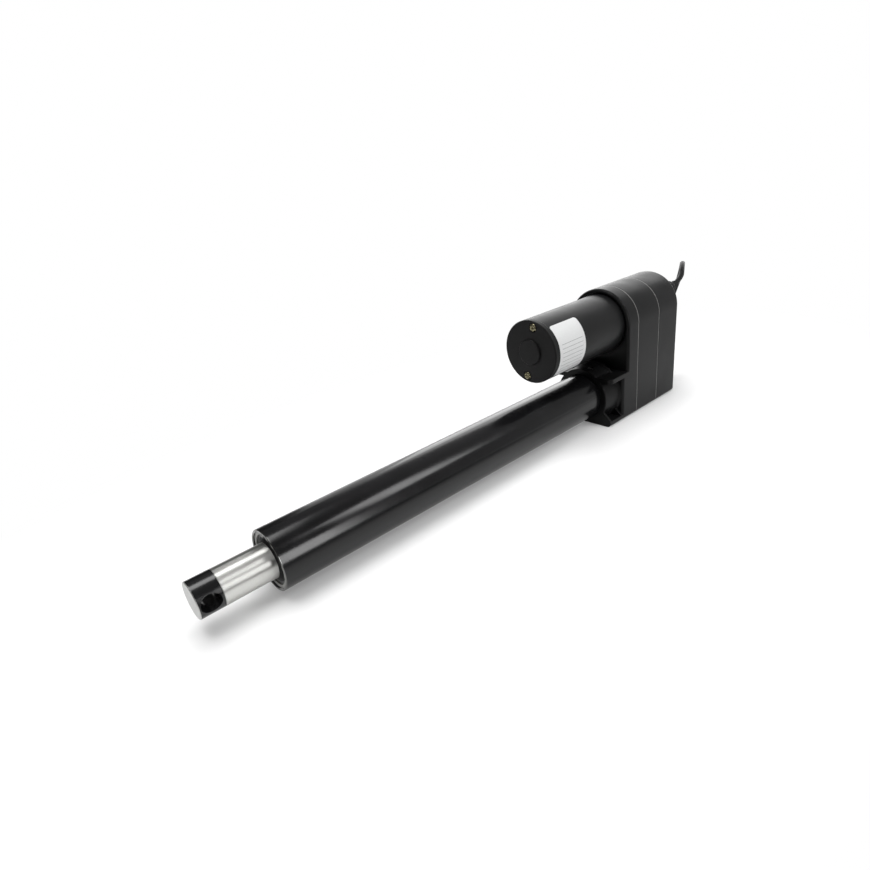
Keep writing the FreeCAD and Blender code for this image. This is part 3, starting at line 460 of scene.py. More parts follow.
# %% Dress the solids
dressing = [
    (tube_gloss, ["outer_tube"]),
    (coat_satin, ["front_housing", "middle_housing", "rear_cover"]),
    (motor_satin, ["motor_can"]),
    (cap_matt, ["motor_end_cap"]),
    (clevis_satin, ["rear_clevis"]),
    (rod_polish, ["inner_tube"]),
    (rod_end_finish, ["rod_end"]),
    (seal_rubber, ["wiper_seal", "cable_boot"]),
    (cable_jacket, ["cable", "cable_coil"]),
    (lead_finish, ["cable_leads"]),
    (tie_nylon, ["cable_tie"]),
    (gasket_fibre, ["front_gasket", "rear_gasket"]),
    (zinc_plate, ["housing_screws", "clevis_screws", "tube_set_screw"]),
    (bolt_zinc, ["motor_bolts"]),
    (clip_steel, ["circlip"]),
    (shaft_steel, ["lead_screw", "idler_pin", "rotor_shaft", "screw_lock_nut"]),
    (gear_steel, ["screw_gear", "idler_wheel", "idler_pinion", "motor_pinion"]),
    (bearing_steel, ["screw_bearing_front", "screw_bearing_rear"]),
    (bearing_steel, ["motor_bearing_rear", "motor_bearing_front"]),
    (nut_bronze, ["drive_nut", "idler_bush"]),
    (bush_polymer, ["front_bush"]),
    (guide_polymer, ["guide_ring", "screw_end_guide"]),
    (switch_plastic, ["limit_switches", "brush_holder"]),
    (magnet_ferrite, ["motor_magnets"]),
    (lamination, ["armature_core"]),
    (copper_wire, ["armature_windings", "commutator"]),
    (carbon, ["brushes"]),
    (board_lacquer, ["switch_strip"]),
]
dressed = set()
for material, names in dressing:
    for name in names:
        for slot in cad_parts[name].material_slots:
            slot.material = material
        dressed.add(name)
print("solids dressed:", len(dressed), "left out:", sorted(set(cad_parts) - dressed))

# %% [markdown]
# ## The cable's jacket
# The line laid above becomes the cable once it has its jacket. It rides on the housing, in
# place of the solid cable and coil, which are hidden.

cable.data.materials.append(cable_jacket)
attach(cable, "housing")
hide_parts("cable", "cable_coil")
print("cable declared,", round(2000 * cable_radius, 1), "mm thick")

# %% [markdown]
# ## Growing a piece from a node tree
# Screws, ribs and a thread are one small shape repeated by a rule. Geometry Nodes keeps the rule:
# its named inputs are the sizes someone might change, and the tree does the repeating. The
# helpers below build a tree with its inputs, run it on a small base mesh and keep the mesh that
# comes out, so nothing in the scene stays unfinished.

# %% Helpers for Geometry Nodes
def new_rule(name, inputs):
    """An empty tree with a geometry input, named inputs and a geometry output."""
    tree = bpy.data.node_groups.new(name, "GeometryNodeTree")
    tree.interface.new_socket("Geometry", in_out="INPUT", socket_type="NodeSocketGeometry")
    for label_text, kind in inputs.items():
        tree.interface.new_socket(label_text, in_out="INPUT", socket_type="NodeSocket" + kind)
    tree.interface.new_socket("Geometry", in_out="OUTPUT", socket_type="NodeSocketGeometry")
    return tree, node(tree, "NodeGroupInput", {}).outputs


def close_rule(tree, geometry, material):
    """Ends a tree: instances become real mesh and take the finish."""
    real = node(tree, "GeometryNodeRealizeInstances", {"Geometry": geometry}).outputs["Geometry"]
    finished = node(tree, "GeometryNodeSetMaterial", {"Geometry": real, "Material": material})
    node(tree, "NodeGroupOutput", {"Geometry": finished.outputs["Geometry"]})


def grow(name, tree, base_mesh, values):
    """Runs a tree on a base mesh and returns an object with the finished mesh."""
    maker = bpy.data.objects.new(name + "_maker", base_mesh)
    modifier = maker.modifiers.new("rule", "NODES")
    modifier.node_group = tree
    for socket in tree.interface.items_tree:
        if socket.in_out == "INPUT" and socket.name in values:
            modifier[socket.identifier] = values[socket.name]
    bpy.context.collection.objects.link(maker)
    bpy.context.view_layer.update()
    evaluated = maker.evaluated_get(bpy.context.evaluated_depsgraph_get())
    grown = bpy.data.meshes.new_from_object(evaluated)
    grown.name = name
    bpy.data.objects.remove(maker)
    return add_object(name, grown)


def place_piece(piece, body, stands_for):
    """Lets a finished piece ride on its body in place of a solid, with that solid's finish."""
    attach(piece, body)
    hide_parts(stands_for)


print("helpers ready: new_rule, close_rule, grow, place_piece")

# %% [markdown]
# ## One screw, turned ring by ring
# A screw is turned on a lathe and its key hole pressed in. The same order works here: rings of
# points are set along the axis and joined, and a ring may be a circle, a hexagon, a cross or a
# knurl. Only the ring's outline changes with the angle, so the hexagon socket and the cross slot
# come out of the same few lines as the round head.

# %% Turn a shape from rings
arm_share = 0.3
knurl_share = 0.965
corner_angle = math.radians(32)


def outline(shape, angle, step):
    """The share of the full radius at an angle, for each shape a ring can have."""
    if shape == "hexagon":
        return math.cos(math.pi / 6) / math.cos(angle % (math.pi / 3) - math.pi / 6)
    if shape == "cross":
        from_arm = abs((angle + math.pi / 4) % (math.pi / 2) - math.pi / 4)
        return min(1 / math.cos(from_arm), arm_share / max(math.sin(from_arm), 1e-6))
    if shape == "knurl":
        return 1.0 if step % 2 else knurl_share
    return 1.0


def turned(rings, count, facing=1):
    """A closed shell through rings of (x, radius) or (x, radius, shape). Radius 0 is a point."""
    shell = bmesh.new()
    before = None
    for x, radius, *shape in rings:
        if radius == 0:
            ring = [shell.verts.new((facing * x, 0, 0))] * count
        else:
            ring = []
            for k in range(count):
                angle = 2 * math.pi * k / count
                size = radius * outline(*shape, angle, k) if shape else radius
                spot = (facing * x, size * math.cos(angle), size * math.sin(angle))
                ring.append(shell.verts.new(spot))
        if before:
            for k in range(count):
                m = (k + 1) % count
                corners = list(dict.fromkeys((before[k], before[m], ring[m], ring[k])))
                if len(corners) > 2:
                    shell.faces.new(corners)
        before = ring
    bmesh.ops.recalc_face_normals(shell, faces=shell.faces)
    return shell


def shade(mesh):
    """Shades rounds smooth and keeps corners sharp."""
    mesh.shade_smooth()
    mesh.set_sharp_from_angle(angle=corner_angle)


def kept_mesh(name, shell):
    """Turns a finished shell into a mesh."""
    mesh = bpy.data.meshes.new(name)
    shell.to_mesh(mesh)
    shell.free()
    shade(mesh)
    return mesh


print("helpers ready: turned, shade, kept_mesh")

# %% [markdown]
# Two kinds of screw hold this part together: socket head screws at the back, with plain heads in
# the casting's counterbores and knurled ones on the clevis, and the motor's two long bolts, with
# flat round heads and a cross slot. Their lengths come from the solids that they stand for.

# %% Turn the screws
screw_steps = 72
bolt_steps = 64


def socket_screw(name, solid, head, height, shank, side):
    """A socket head screw, as long as its solid. Its head's top is at x = 0 and faces +X."""
    rim = 0.0004
    end = low(solid).x - high(solid).x
    rings = [
        (-height / 2 - rim, 0),
        (-height / 2, head / 2, "hexagon"),
        (-rim / 2, head / 2, "hexagon"),
        (0, head / 2 + rim),
        (0, head - rim),
        (-rim, head, side),
        (-height + rim, head, side),
        (-height, head - rim),
        (-height, shank),
        (end + shank / 4, shank),
        (end, shank * 0.75),
        (end, 0),
    ]
    return kept_mesh(name, turned(rings, screw_steps))


housing_screw = socket_screw("housing_screw", "housing_screws", 0.00425, 0.005, 0.0025, "circle")
clevis_screw = socket_screw("clevis_screw", "clevis_screws", 0.0048, 0.005, 0.003, "knurl")
bolt_end = low("motor_bolts").x - high("motor_bolts").x
pan_rings = [
    (-0.0011, 0),
    (-0.0009, 0.0008, "cross"),
    (-0.0001, 0.0021, "cross"),
    (0, 0.0024),
    (-0.0004, 0.0033),
    (-0.0010, 0.00385),
    (-0.0016, 0.0040),
    (-0.0024, 0.0040),
    (-0.0024, 0.0020),
    (bolt_end + 0.0005, 0.0020),
    (bolt_end, 0.0016),
    (bolt_end, 0),
]
motor_bolt = kept_mesh("motor_bolt", turned(pan_rings, bolt_steps, facing=-1))
print("screws turned, faces:", [len(m.polygons) for m in (housing_screw, clevis_screw, motor_bolt)])

# %% [markdown]
# ## Setting the screws in their holes
# The holes are points, and the tree puts one screw on each. Screws are never driven to the same
# angle, so each gets its own turn about its axis from a random value with a fixed seed: the same
# on every run, different on every screw.

# %% The rule that sets screws
screw_inputs = {"Screw": "Object", "Turn": "Float", "Seed": "Int", "Finish": "Material"}
screw_rule, given = new_rule("screw_set", screw_inputs)
shape = node(screw_rule, "GeometryNodeObjectInfo", {"Object": given["Screw"]}).outputs["Geometry"]
chance = node(screw_rule, "FunctionNodeRandomValue", {"Seed": given["Seed"]}, data_type="FLOAT")
spin = calc(screw_rule, "MULTIPLY", chance.outputs[1], given["Turn"])
about_axis = node(screw_rule, "ShaderNodeCombineXYZ", {"X": spin})
set_screws = node(screw_rule, "GeometryNodeInstanceOnPoints", {
    "Points": given["Geometry"], "Instance": shape, "Rotation": about_axis.outputs["Vector"],
})
close_rule(screw_rule, set_screws.outputs["Instances"], given["Finish"])
print("rule ready: screw_set, nodes:", len(screw_rule.nodes))

# %% [markdown]
# The long housing screws stand in the gearbox's corners and at the top of its arch, the clevis
# screws in the corners of its flange, and the motor's bolts across from each other on a circle
# inside the can.

# %% Set the screws
screw_height = 0.029
motor_height = 0.1025
bolt_circle = 0.0253
bolt_angle = math.radians(101)
bolt_spots = []
for angle in (bolt_angle, bolt_angle + math.pi):
    bolt_spots.append((bolt_circle * math.cos(angle), motor_height + bolt_circle * math.sin(angle)))
housing_spots = [(-0.030, 0.007), (0.030, 0.007), (-0.030, 0.093), (0.030, 0.093), (0, 0.1325)]
clevis_spots = [(y, screw_height + z) for y in (-0.016, 0.016) for z in (-0.013, 0.013)]
screw_sets = [
    ("housing_screws", housing_screw, high, housing_spots, zinc_plate, "screw_steel", 3),
    ("clevis_screws", clevis_screw, high, clevis_spots, zinc_plate, "screw_steel", 8),
    ("motor_bolts", motor_bolt, low, bolt_spots, bolt_zinc, "bolt_brass", 5),
]
for name, screw_mesh, head_end, spots, finish, slot_name, seed in screw_sets:
    holes = bpy.data.meshes.new(name + "_holes")
    holes.from_pydata([(head_end(name).x, y, z) for y, z in spots], [], [])
    sample = bpy.data.objects.new(name + "_sample", screw_mesh)
    values = {"Screw": sample, "Turn": 2 * math.pi, "Seed": seed, "Finish": finish}
    piece = grow(name + "_cut", screw_rule, holes, values)
    bpy.data.objects.remove(sample)
    place_piece(piece, "housing", name)
    print(name, "set:", len(spots), "faces:", len(piece.data.polygons))

# %% [markdown]
# ## The ribbed cable boot
# The rubber boot lets the cable bend without kinking at the wall: a thick collar against the
# housing, and a sleeve with ribs that grows thinner and lifts the cable a little. The tree draws
# the sleeve's bend as an arc, sweeps a circle along it and lets a wave on the way along swell the
# circle into ribs. It then joins the sleeve to the collar that it is given.

# %% The rule for a ribbed sleeve
boot_steps_along = 72
boot_steps_round = 40
boot_inputs = dict.fromkeys(("Bend", "Sweep", "Root", "Tip", "Rib", "Ribs"), "Float")
boot_rule, given = new_rule("ribbed_boot", {**boot_inputs, "Place": "Vector", "Finish": "Material"})
bend = node(boot_rule, "GeometryNodeCurveArc", {
    "Resolution": boot_steps_along,
    "Radius": given["Bend"],
    "Start Angle": -math.pi / 2,
    "Sweep Angle": given["Sweep"],
}).outputs["Curve"]
along = node(boot_rule, "GeometryNodeSplineParameter", {}).outputs["Factor"]
taper = spread(boot_rule, along, 0.0, 1.0, given["Root"], given["Tip"])
waves = calc(boot_rule, "MULTIPLY", along, given["Ribs"])
wave = calc(boot_rule, "COSINE", calc(boot_rule, "MULTIPLY", waves, 2 * math.pi))
thick = calc(boot_rule, "MULTIPLY_ADD", wave, given["Rib"], taper)
ring = node(boot_rule, "GeometryNodeCurvePrimitiveCircle", {
    "Resolution": boot_steps_round, "Radius": 1.0,
}).outputs["Curve"]
sleeve = node(boot_rule, "GeometryNodeCurveToMesh", {
    "Curve": bend, "Profile Curve": ring, "Scale": thick, "Fill Caps": True,
}).outputs["Mesh"]
lift = node(boot_rule, "ShaderNodeCombineXYZ", {"Z": given["Bend"]}).outputs["Vector"]
seat = vector_calc(boot_rule, "ADD", given["Place"], lift)["Vector"]
upright = node(boot_rule, "GeometryNodeTransform", {
    "Geometry": sleeve, "Rotation": (math.pi / 2, 0, 0), "Translation": seat,
}).outputs["Geometry"]
both = node(boot_rule, "GeometryNodeJoinGeometry", {"Geometry": upright})
fill(boot_rule, both, {"Geometry": given["Geometry"]})
close_rule(boot_rule, both.outputs["Geometry"], given["Finish"])
print("rule ready: ribbed_boot, nodes:", len(boot_rule.nodes))

# %% [markdown]
# The collar is turned like the screws, with a groove at half its length and a rounded rim where
# the sleeve begins. Its width and its place come from the solid that it stands for.

# %% Grow the boot
collar_radius = (high("cable_boot").y - low("cable_boot").y) / 2
collar_length = 0.009
collar_rounding = 0.002
collar_lip = 0.0006
collar_steps = 48
rounding_steps = 4
collar_rings = [
    (0, 0),
    (0, collar_radius),
    (collar_length / 2 - collar_lip, collar_radius),
    (collar_length / 2, collar_radius - collar_lip),
    (collar_length / 2 + collar_lip, collar_radius),
]
for i in range(rounding_steps + 1):
    around = math.pi / 2 * i / rounding_steps
    x = collar_length - collar_rounding * (1 - math.sin(around))
    collar_rings.append((x, collar_radius - collar_rounding * (1 - math.cos(around))))
collar_rings.append((collar_length, 0))
boot_seat = Vector((high("rear_cover").x, (low("cable_boot").y + high("cable_boot").y) / 2, 0))
boot_seat.z = low("cable_boot").z + collar_radius
collar = turned(collar_rings, collar_steps)
bmesh.ops.translate(collar, verts=collar.verts, vec=boot_seat)
boot_values = {
    "Bend": 0.040,
    "Sweep": math.radians(18),
    "Root": 0.0058,
    "Tip": 0.0040,
    "Rib": 0.0003,
    "Ribs": 5.0,
    "Place": boot_seat + Vector((collar_length, 0, 0)),
    "Finish": seal_rubber,
}
boot = grow("ribbed_boot", boot_rule, kept_mesh("boot_collar", collar), boot_values)
place_piece(boot, "housing", "cable_boot")
print("boot faces:", len(boot.data.polygons))

# %% [markdown]
# ## The lead screw's thread
# A thread is a grid of points wrapped round the axis and sheared: once round, a point has moved
# on by one lead. Two of every four rows of the grid stand at the crest and two at the root, which
# gives the trapezoid form of a lead screw. Points past either end are held at that end and drawn
# down to the root.

# %% The rule that cuts a thread
segments = 48
spots_round = segments + 1
rows_per_lead = 4
thread_inputs = dict.fromkeys(("Start", "End", "Lead", "Crest", "Root", "Height"), "Float")
thread_rule, given = new_rule("cut_thread", {**thread_inputs, "Finish": "Material"})
number = node(thread_rule, "GeometryNodeInputIndex", {}).outputs["Index"]
row = calc(thread_rule, "FLOOR", calc(thread_rule, "DIVIDE", number, spots_round))
step = calc(thread_rule, "MODULO", number, spots_round)
turn_part = calc(thread_rule, "DIVIDE", step, segments)
leads = calc(thread_rule, "MULTIPLY_ADD", row, 1 / rows_per_lead, turn_part)
leads_on = calc(thread_rule, "SUBTRACT", leads, 1.0)
moved = calc(thread_rule, "MULTIPLY_ADD", leads_on, given["Lead"], given["Start"])
held = node(thread_rule, "ShaderNodeClamp", {
    "Value": moved, "Min": given["Start"], "Max": given["End"],
})
row_of_four = calc(thread_rule, "MODULO", row, rows_per_lead)
crest = calc(thread_rule, "LESS_THAN", row_of_four, rows_per_lead / 2 - 0.5)
past_start = calc(thread_rule, "GREATER_THAN", moved, given["Start"])
before_end = calc(thread_rule, "LESS_THAN", moved, given["End"])
between = calc(thread_rule, "MULTIPLY", past_start, before_end)
standing = calc(thread_rule, "MULTIPLY", crest, between)
size = spread(thread_rule, standing, 0.0, 1.0, given["Root"], given["Crest"])
angle = calc(thread_rule, "MULTIPLY", turn_part, 2 * math.pi)
spot = node(thread_rule, "ShaderNodeCombineXYZ", {
    "X": held.outputs["Result"],
    "Y": calc(thread_rule, "MULTIPLY", calc(thread_rule, "COSINE", angle), size),
    "Z": calc(thread_rule, "MULTIPLY_ADD", calc(thread_rule, "SINE", angle), size, given["Height"]),
}).outputs["Vector"]
wrapped = node(thread_rule, "GeometryNodeSetPosition", {
    "Geometry": given["Geometry"], "Position": spot,
})
close_rule(thread_rule, wrapped.outputs["Geometry"], given["Finish"])
print("rule ready: cut_thread, nodes:", len(thread_rule.nodes))

# %% [markdown]
# The tree needs something to wrap, so it is given a grid with all its faces, whose points still
# lie in one place. The sizes are those of a common lead screw, 20 mm across its crests, and the
# thread runs from the front journal to the rear one.

# %% Cut the thread
thread_start = -0.179
thread_end = 0.1765
lead = 0.004
thread_crest = 0.0100
thread_root = 0.0084
rows_along = rows_per_lead * (math.ceil((thread_end - thread_start) / lead) + 1)
grid_faces = []
for i in range(rows_along):
    for j in range(segments):
        first = i * spots_round + j
        grid_faces.append((first, first + 1, first + 1 + spots_round, first + spots_round))
grid = bpy.data.meshes.new("thread_grid")
grid.from_pydata([(0, 0, 0)] * ((rows_along + 1) * spots_round), [], grid_faces)
thread_values = {
    "Start": thread_start, "End": thread_end, "Lead": lead, "Height": screw_height,
    "Crest": thread_crest, "Root": thread_root, "Finish": shaft_steel,
}
lead_screw = grow("threaded_lead_screw", thread_rule, grid, thread_values)
print("thread rows:", rows_along, "faces:", len(lead_screw.data.polygons))

# %% [markdown]
# The journals are turned like the screws, with rings at the same angles as the thread's, so that
# both meet point on point and weld into one closed shell. The steps behind the thread seat the
# bearing, the gear and the lock nut.

# %% Weld the journals on
bevel = 0.0005
weld = 1e-6
sliver = 1e-7
guide_seat = 0.0050
bearing_seat, gear_seat, nut_seat = 0.0075, 0.0070, 0.0060
gear_from, nut_from = 0.2030, 0.2245
screw_front, screw_rear = low("lead_screw").x, high("lead_screw").x
front_rings = [
    (screw_front, 0), (screw_front, guide_seat - bevel), (screw_front + bevel, guide_seat),
    (thread_start, guide_seat), (thread_start, thread_root),
]
rear_rings = [
    (thread_end, thread_root), (thread_end, bearing_seat),
    (gear_from, bearing_seat), (gear_from, gear_seat),
    (nut_from, gear_seat), (nut_from, nut_seat),
    (screw_rear - bevel, nut_seat), (screw_rear, nut_seat - bevel), (screw_rear, 0),
]
whole = bmesh.new()
whole.from_mesh(lead_screw.data)
for rings in (front_rings, rear_rings):
    journal = turned(rings, segments)
    bmesh.ops.translate(journal, verts=journal.verts, vec=(0, 0, screw_height))
    whole.from_mesh(kept_mesh("journal", journal))
bmesh.ops.remove_doubles(whole, verts=whole.verts, dist=weld)
bmesh.ops.dissolve_degenerate(whole, edges=whole.edges, dist=sliver)
bmesh.ops.recalc_face_normals(whole, faces=whole.faces)
open_edges = sum(1 for edge in whole.edges if not edge.is_manifold)
whole.to_mesh(lead_screw.data)
whole.free()
shade(lead_screw.data)
place_piece(lead_screw, "screw", "lead_screw")
print("lead screw faces:", len(lead_screw.data.polygons), "open edges:", open_edges)

# %% [markdown]
# ## The label on the motor
# A white label wraps part of the way round the motor. It is blank but for a few ruled lines, as a
# type plate is before it is filled in. A label is a curved sheet a tenth of a millimetre thick,
# so it is laid out flat as rows of points, shortened towards its round corners, and each row is
# then bent round the motor's axis. Bending points in code keeps the sheet exactly on the can,
# where a shrinkwrap would only come close.

# %% Bend a layer round the motor
motor_radius = (high("motor_can").y - low("motor_can").y) / 2
label_start = 0.060
label_end = 0.100
label_top = math.radians(54)
label_bottom = math.radians(-48)
label_corner = 0.003
label_glue = 0.00002
label_thickness = 0.0001
label_rows = 60
label_columns = 16
label_drop = motor_radius * (label_top - label_bottom)


def corner_inset(from_edge):
    """How much a row is shortened at each end, so far from the label's upper or lower edge."""
    if from_edge >= label_corner:
        return 0.0
    return label_corner - math.sqrt(label_corner**2 - (label_corner - from_edge) ** 2)


sheet = bmesh.new()
flat_place = {}


def label_layer(radius):
    """One face of the label: rows of points bent round the motor at a radius."""
    layer = []
    for i in range(label_rows + 1):
        share = 0.5 - 0.5 * math.cos(math.pi * i / label_rows)
        angle = label_top + (label_bottom - label_top) * share
        inset = corner_inset(min(share, 1 - share) * label_drop)
        row = []
        for j in range(label_columns + 1):
            x = label_start + inset + (label_end - label_start - 2 * inset) * j / label_columns
            y, z = -radius * math.cos(angle), motor_height + radius * math.sin(angle)
            spot = sheet.verts.new((x, y, z))
            flat_place[spot] = (x - label_start, share * label_drop)
            row.append(spot)
        layer.append(row)
    return layer


print("label", round((label_end - label_start) * 1000), "by", round(label_drop * 1000), "mm")

# %% [markdown]
# Two such layers, the glued face and the printed one, make a closed sheet with a strip along each
# edge. Each point's flat place is kept in a UV map, in metres, for the printing.

# %% Close the label
under = label_layer(motor_radius + label_glue)
over = label_layer(motor_radius + label_glue + label_thickness)
for layer in (under, over):
    for i in range(label_rows):
        for j in range(label_columns):
            sheet.faces.new((layer[i][j], layer[i][j + 1], layer[i + 1][j + 1], layer[i + 1][j]))
for i in (0, label_rows):
    for j in range(label_columns):
        sheet.faces.new((under[i][j], under[i][j + 1], over[i][j + 1], over[i][j]))
for j in (0, label_columns):
    for i in range(label_rows):
        sheet.faces.new((under[i][j], under[i + 1][j], over[i + 1][j], over[i][j]))
bmesh.ops.recalc_face_normals(sheet, faces=sheet.faces)
flat_map = sheet.loops.layers.uv.new("flat")
for face in sheet.faces:
    for corner in face.loops:
        corner[flat_map].uv = flat_place[corner.vert]
label_mesh = bpy.data.meshes.new("motor_label")
sheet.to_mesh(label_mesh)
sheet.free()
label = add_object("motor_label", label_mesh)
print("label faces:", len(label_mesh.polygons))

# %% [markdown]
# The paper is white with a faint fibre grain and a satin film over it. The ruled lines come from
# the label's flat map: the way down from its upper edge, counted in line pitches, is ink for a
# short part of every pitch, and plain margins are left on all four sides.

# %% The label's paper
rule_pitch = 0.0042
rule_share = 0.09
margin = 0.004
rules_from = 0.020
rules_to = label_drop - margin
fibre_size, fibre_depth = 0.0014, 0.000004
label_paper, tree, shader, place = new_finish("label_paper")
on_sheet = split(tree, node(tree, "ShaderNodeUVMap", {}, uv_map="flat").outputs["UV"])
pitches = calc(tree, "FRACT", calc(tree, "DIVIDE", on_sheet["Y"], rule_pitch))
ink = calc(tree, "LESS_THAN", pitches, rule_share)
ruled_spans = (("Y", rules_from, rules_to), ("X", margin, label_end - label_start - margin))
for way, start, end in ruled_spans:
    ink = calc(tree, "MULTIPLY", ink, calc(tree, "GREATER_THAN", on_sheet[way], start))
    ink = calc(tree, "MULTIPLY", ink, calc(tree, "LESS_THAN", on_sheet[way], end))
fibre = noise(tree, place, fibre_size, 3.0)
paper = two_tone(tree, fibre, (0.56, 0.565, 0.565, 1), (0.64, 0.645, 0.645, 1))
fill(tree, shader, {
    "Base Color": two_tone(tree, ink, paper, (0.16, 0.17, 0.18, 1)),
    "Roughness": spread(tree, fibre, 0.3, 0.7, 0.34, 0.42),
    "Normal": relief(tree, fibre, fibre_depth).outputs["Normal"],
})
label.data.materials.append(label_paper)
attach(label, "housing")
print("label ruled every", rule_pitch * 1000, "mm")

# %% [markdown]
# ## The studio's lamps
# Black gloss shows lamps more than it shows light, so each lamp stands where its streak is
# wanted. A low softbox in front draws the streak along the tube's flank, a second one to the
# right draws the slanting one, and the key hangs over the rod end and is there for its streak
# alone. A wide low panel behind gives the upper rims their light edge. The light that lifts the
# floor to white and casts the soft shadow comes from a broad ceiling. It is hidden from mirrored
# rays, so that black paint stays black under it.

# %% Lamps
def softbox(name, place, target, width, height, watts):
    """A rectangular lamp that faces a point."""
    lamp = bpy.data.lights.new(name, "AREA")
    lamp.shape = "RECTANGLE"
    lamp.size = width
    lamp.size_y = height
    lamp.energy = watts
    holder = add_object(name, lamp)
    facing = (Vector(target) - Vector(place)).to_track_quat("-Z", "Y").to_matrix().to_4x4()
    holder.matrix_world = Matrix.Translation(place) @ facing
    holder.visible_camera = False
    return holder


softbox("low_front_softbox", (0.169, -1.197, 0.36), (-0.22, 0.0, 0.03), 0.3, 0.61, 5.85)
softbox("right_softbox", (0.486, -0.707, 0.935), (-0.125, 0.0, 0.03), 0.32, 0.5, 4.2)
key = softbox("key_softbox", (-0.155, 0.2, 1.2), (-0.2, 0.05, 0.03), 0.59, 0.5, 5.5)
key.visible_diffuse = False
softbox("back_wall_light", (1.56, 0.94, 0.75), (0.02, 0.0, 0.06), 2.16, 1.25, 20.5)
ceiling = softbox("ceiling_bounce", (-0.18, 0.16, 1.25), (-0.05, 0.05, 0.0), 1.2, 0.9, 17.5)
ceiling.visible_glossy = False
print("lamps:", len(bpy.data.lights))

# %% [markdown]
# ## The wall round the studio
# The camera sees plain white all round. Mirrored rays see the studio as it would be: a wall that
# is white low down and behind the part, dimmer towards the front and dark above, except to the
# right, where a window would be. The black paint then has something to grade between. The Light
# Path node tells the two kinds of ray apart. All other rays get a little even light.

# %% The wall
white = (1, 1, 1, 1)
upper_wall = (0.2, 0.2, 0.2, 1)
upper_right = (0.5, 0.5, 0.5, 1)
right_from, right_to = 0.3, 0.65
upper_from, upper_to = 0.25, 0.53
straight_back = (0.62, 0.78, 0)
front_mark, back_mark = -0.55, 0.35
front_strength = 0.1
even_strength = 0.1


def mix_shader(tree, share, first, second):
    """A shader that goes from first to second with a share from 0 to 1."""
    return node(tree, "ShaderNodeMixShader", {0: share, 1: first, 2: second}).outputs[0]


def shining(tree, kind, colour, strength):
    """A Background or an Emission of a colour and a strength."""
    return node(tree, "ShaderNode" + kind, {"Color": colour, "Strength": strength}).outputs[0]


def ray_kinds(tree):
    """Whether a ray comes from the camera, and whether by way of a mirror or of glass."""
    ray = node(tree, "ShaderNodeLightPath", {}).outputs
    mirrored = calc(tree, "MAXIMUM", ray["Is Glossy Ray"], ray["Is Transmission Ray"])
    return ray["Is Camera Ray"], mirrored


world = bpy.data.worlds.new("studio")
bpy.context.scene.world = world
world.use_nodes = True
tree = world.node_tree
tree.nodes.clear()
from_camera, mirrored = ray_kinds(tree)
direction = node(tree, "ShaderNodeTexCoord", {}).outputs["Generated"]
way = split(tree, direction)
to_right = spread(tree, way["X"], right_from, right_to, 0.0, 1.0)
upwards = spread(tree, way["Z"], upper_from, upper_to, 0.0, 1.0)
wall = two_tone(tree, upwards, white, two_tone(tree, to_right, upper_wall, upper_right))
behind = vector_calc(tree, "DOT_PRODUCT", direction, straight_back)["Value"]
nearness = spread(tree, behind, front_mark, back_mark, front_strength, 1.0)
mirrored_wall = shining(tree, "Background", wall, nearness)
even_light = shining(tree, "Background", white, even_strength)
unseen = mix_shader(tree, mirrored, even_light, mirrored_wall)
surround = mix_shader(tree, from_camera, unseen, shining(tree, "Background", white, 1.0))
node(tree, "ShaderNodeOutputWorld", {"Surface": surround})
print("wall ready, nodes:", len(tree.nodes))

# %% [markdown]
# ## The white sheet
# The part stands on a white sheet. Near the part it is real paper, which catches the shadows, and
# the steel mirrors it with them. A share of plain white is mixed in all over, so that the shadows
# stay pale, and further out it grows until no horizon shows. Mirrored rays find an edge of the
# sheet to the left in front, and the dark room past it, which draws the thin dark line along the
# rod. Light that bounces off the sheet on to the part is kept lower than a white sheet would
# give, as on a table less well lit.

# %% The sheet
sheet_reach = 6.0
oval_stretch = (1, 1.8, 1)
paper_to, white_from = 0.36, 0.66
white_share = 0.15
paper_white = (0.92, 0.92, 0.92, 1)
bounce_white = (0.6, 0.6, 0.6, 1)
edge_from, edge_to = -0.08, -0.22
left_of, right_of = 0.15, 0.4
right_share = 0.1
room_strength = 0.04
signs = [(-1, -1), (1, -1), (1, 1), (-1, 1)]
corners = [(sheet_reach * x, sheet_reach * y, 0) for x, y in signs]
floor_mesh = bpy.data.meshes.new("white_sheet")
floor_mesh.from_pydata(corners, [], [(0, 1, 2, 3)])
floor = add_object("white_sheet", floor_mesh)
sheet_white, tree, shader, place = new_finish("white_sheet")
tree.nodes.remove(shader)
from_camera, mirrored = ray_kinds(tree)
stretched = vector_calc(tree, "MULTIPLY", place, oval_stretch)["Vector"]
far = vector_calc(tree, "LENGTH", stretched)["Value"]
fade = node(tree, "ShaderNodeMapRange", {
    "Value": far, "From Min": paper_to, "From Max": white_from, "To Min": white_share,
}, interpolation_type="SMOOTHSTEP").outputs["Result"]
paper = node(tree, "ShaderNodeBsdfDiffuse", {"Color": paper_white}).outputs[0]
bounce = node(tree, "ShaderNodeBsdfDiffuse", {"Color": bounce_white}).outputs[0]
spot = split(tree, place)
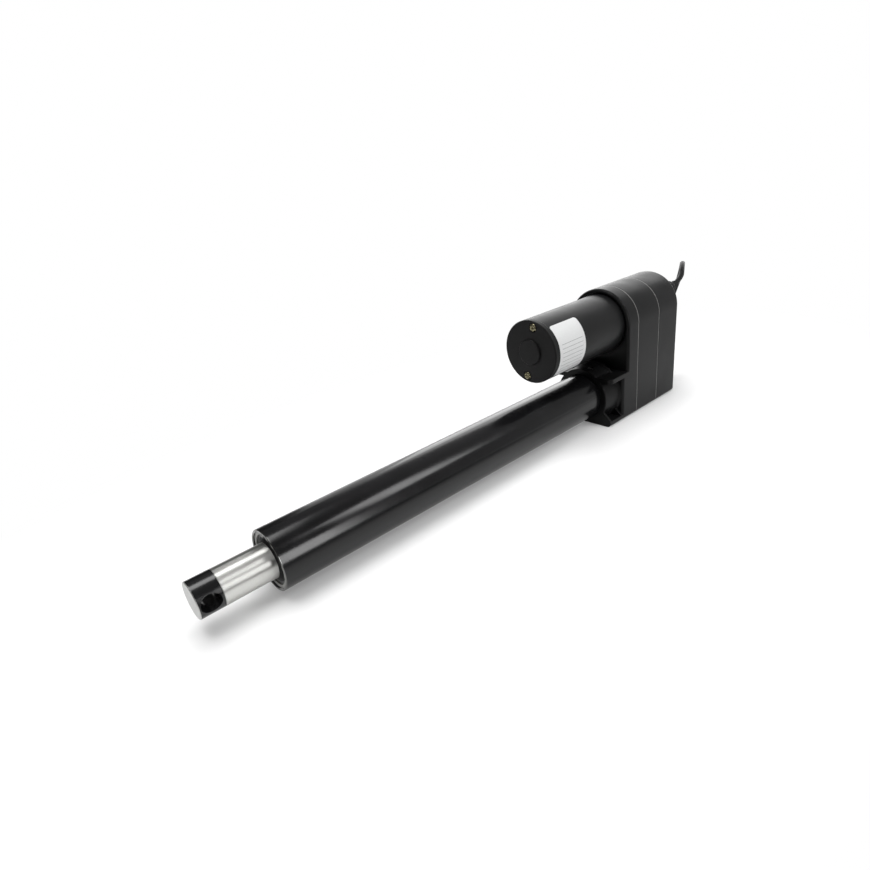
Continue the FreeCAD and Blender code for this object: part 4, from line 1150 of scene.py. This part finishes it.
past_front = calc(tree, "MULTIPLY", mirrored, spread(tree, spot["Y"], edge_from, edge_to, 0.0, 1.0))
leftness = spread(tree, spot["X"], left_of, right_of, 1.0, right_share)
past_edge = calc(tree, "MULTIPLY", past_front, leftness)
sheet_look = mix_shader(tree, fade, paper, shining(tree, "Emission", white, 1.0))
looked_at = mix_shader(tree, past_edge, sheet_look, shining(tree, "Emission", white, room_strength))
seen = calc(tree, "MAXIMUM", mirrored, from_camera)
surface = mix_shader(tree, seen, bounce, looked_at)
fill(tree, tree.nodes["Material Output"], {"Surface": surface})
floor.data.materials.append(sheet_white)
bpy.context.scene.view_settings.view_transform = "Standard"
print("sheet", 2 * sheet_reach, "m wide")

# %% [markdown]
# ## Two cards beside the rod
# Polished steel is only as good as what it mirrors, so photographers stand cards beside it. A
# black one, to the left behind the part, gives the rod and the rod end's gloss a dark upper edge.
# A white one hangs to the left in front, above the camera, and fills the dull gaps between the
# bands of the lamps: the ground steel spreads what it mirrors along the rod and picks the card
# up, while the smooth black tube looks past it. The camera doesn't see the cards and they throw
# no shadow: only mirrored rays find them.

# %% Stand the cards
def stand_card(name, finish, left, right, lower, upper):
    """A flat card that only mirrored rays find. Its lower and upper edges are given as (y, z)."""
    corners = [(left, *lower), (right, *lower), (right, *upper), (left, *upper)]
    mesh = bpy.data.meshes.new(name)
    mesh.from_pydata(corners, [], [(0, 1, 2, 3)])
    mesh.materials.append(finish)
    card = add_object(name, mesh)
    card.visible_camera = False
    card.visible_diffuse = False
    card.visible_shadow = False


black_left, black_right = -0.75, -0.02
black_low, black_high = (0.5, 0), (0.5, 0.42)
white_left, white_right = -0.95, -0.3
white_low, white_high = (-0.58, 0.32), (-0.08, 0.68)
card_black = grained("card_black", (0.03, 0.03, 0.03), 0.9)
card_white, tree, shader, place = new_finish("card_white")
tree.nodes.remove(shader)
fill(tree, tree.nodes["Material Output"], {"Surface": shining(tree, "Emission", white, 1.0)})
stand_card("black_card", card_black, black_left, black_right, black_low, black_high)
stand_card("white_card", card_white, white_left, white_right, white_low, white_high)
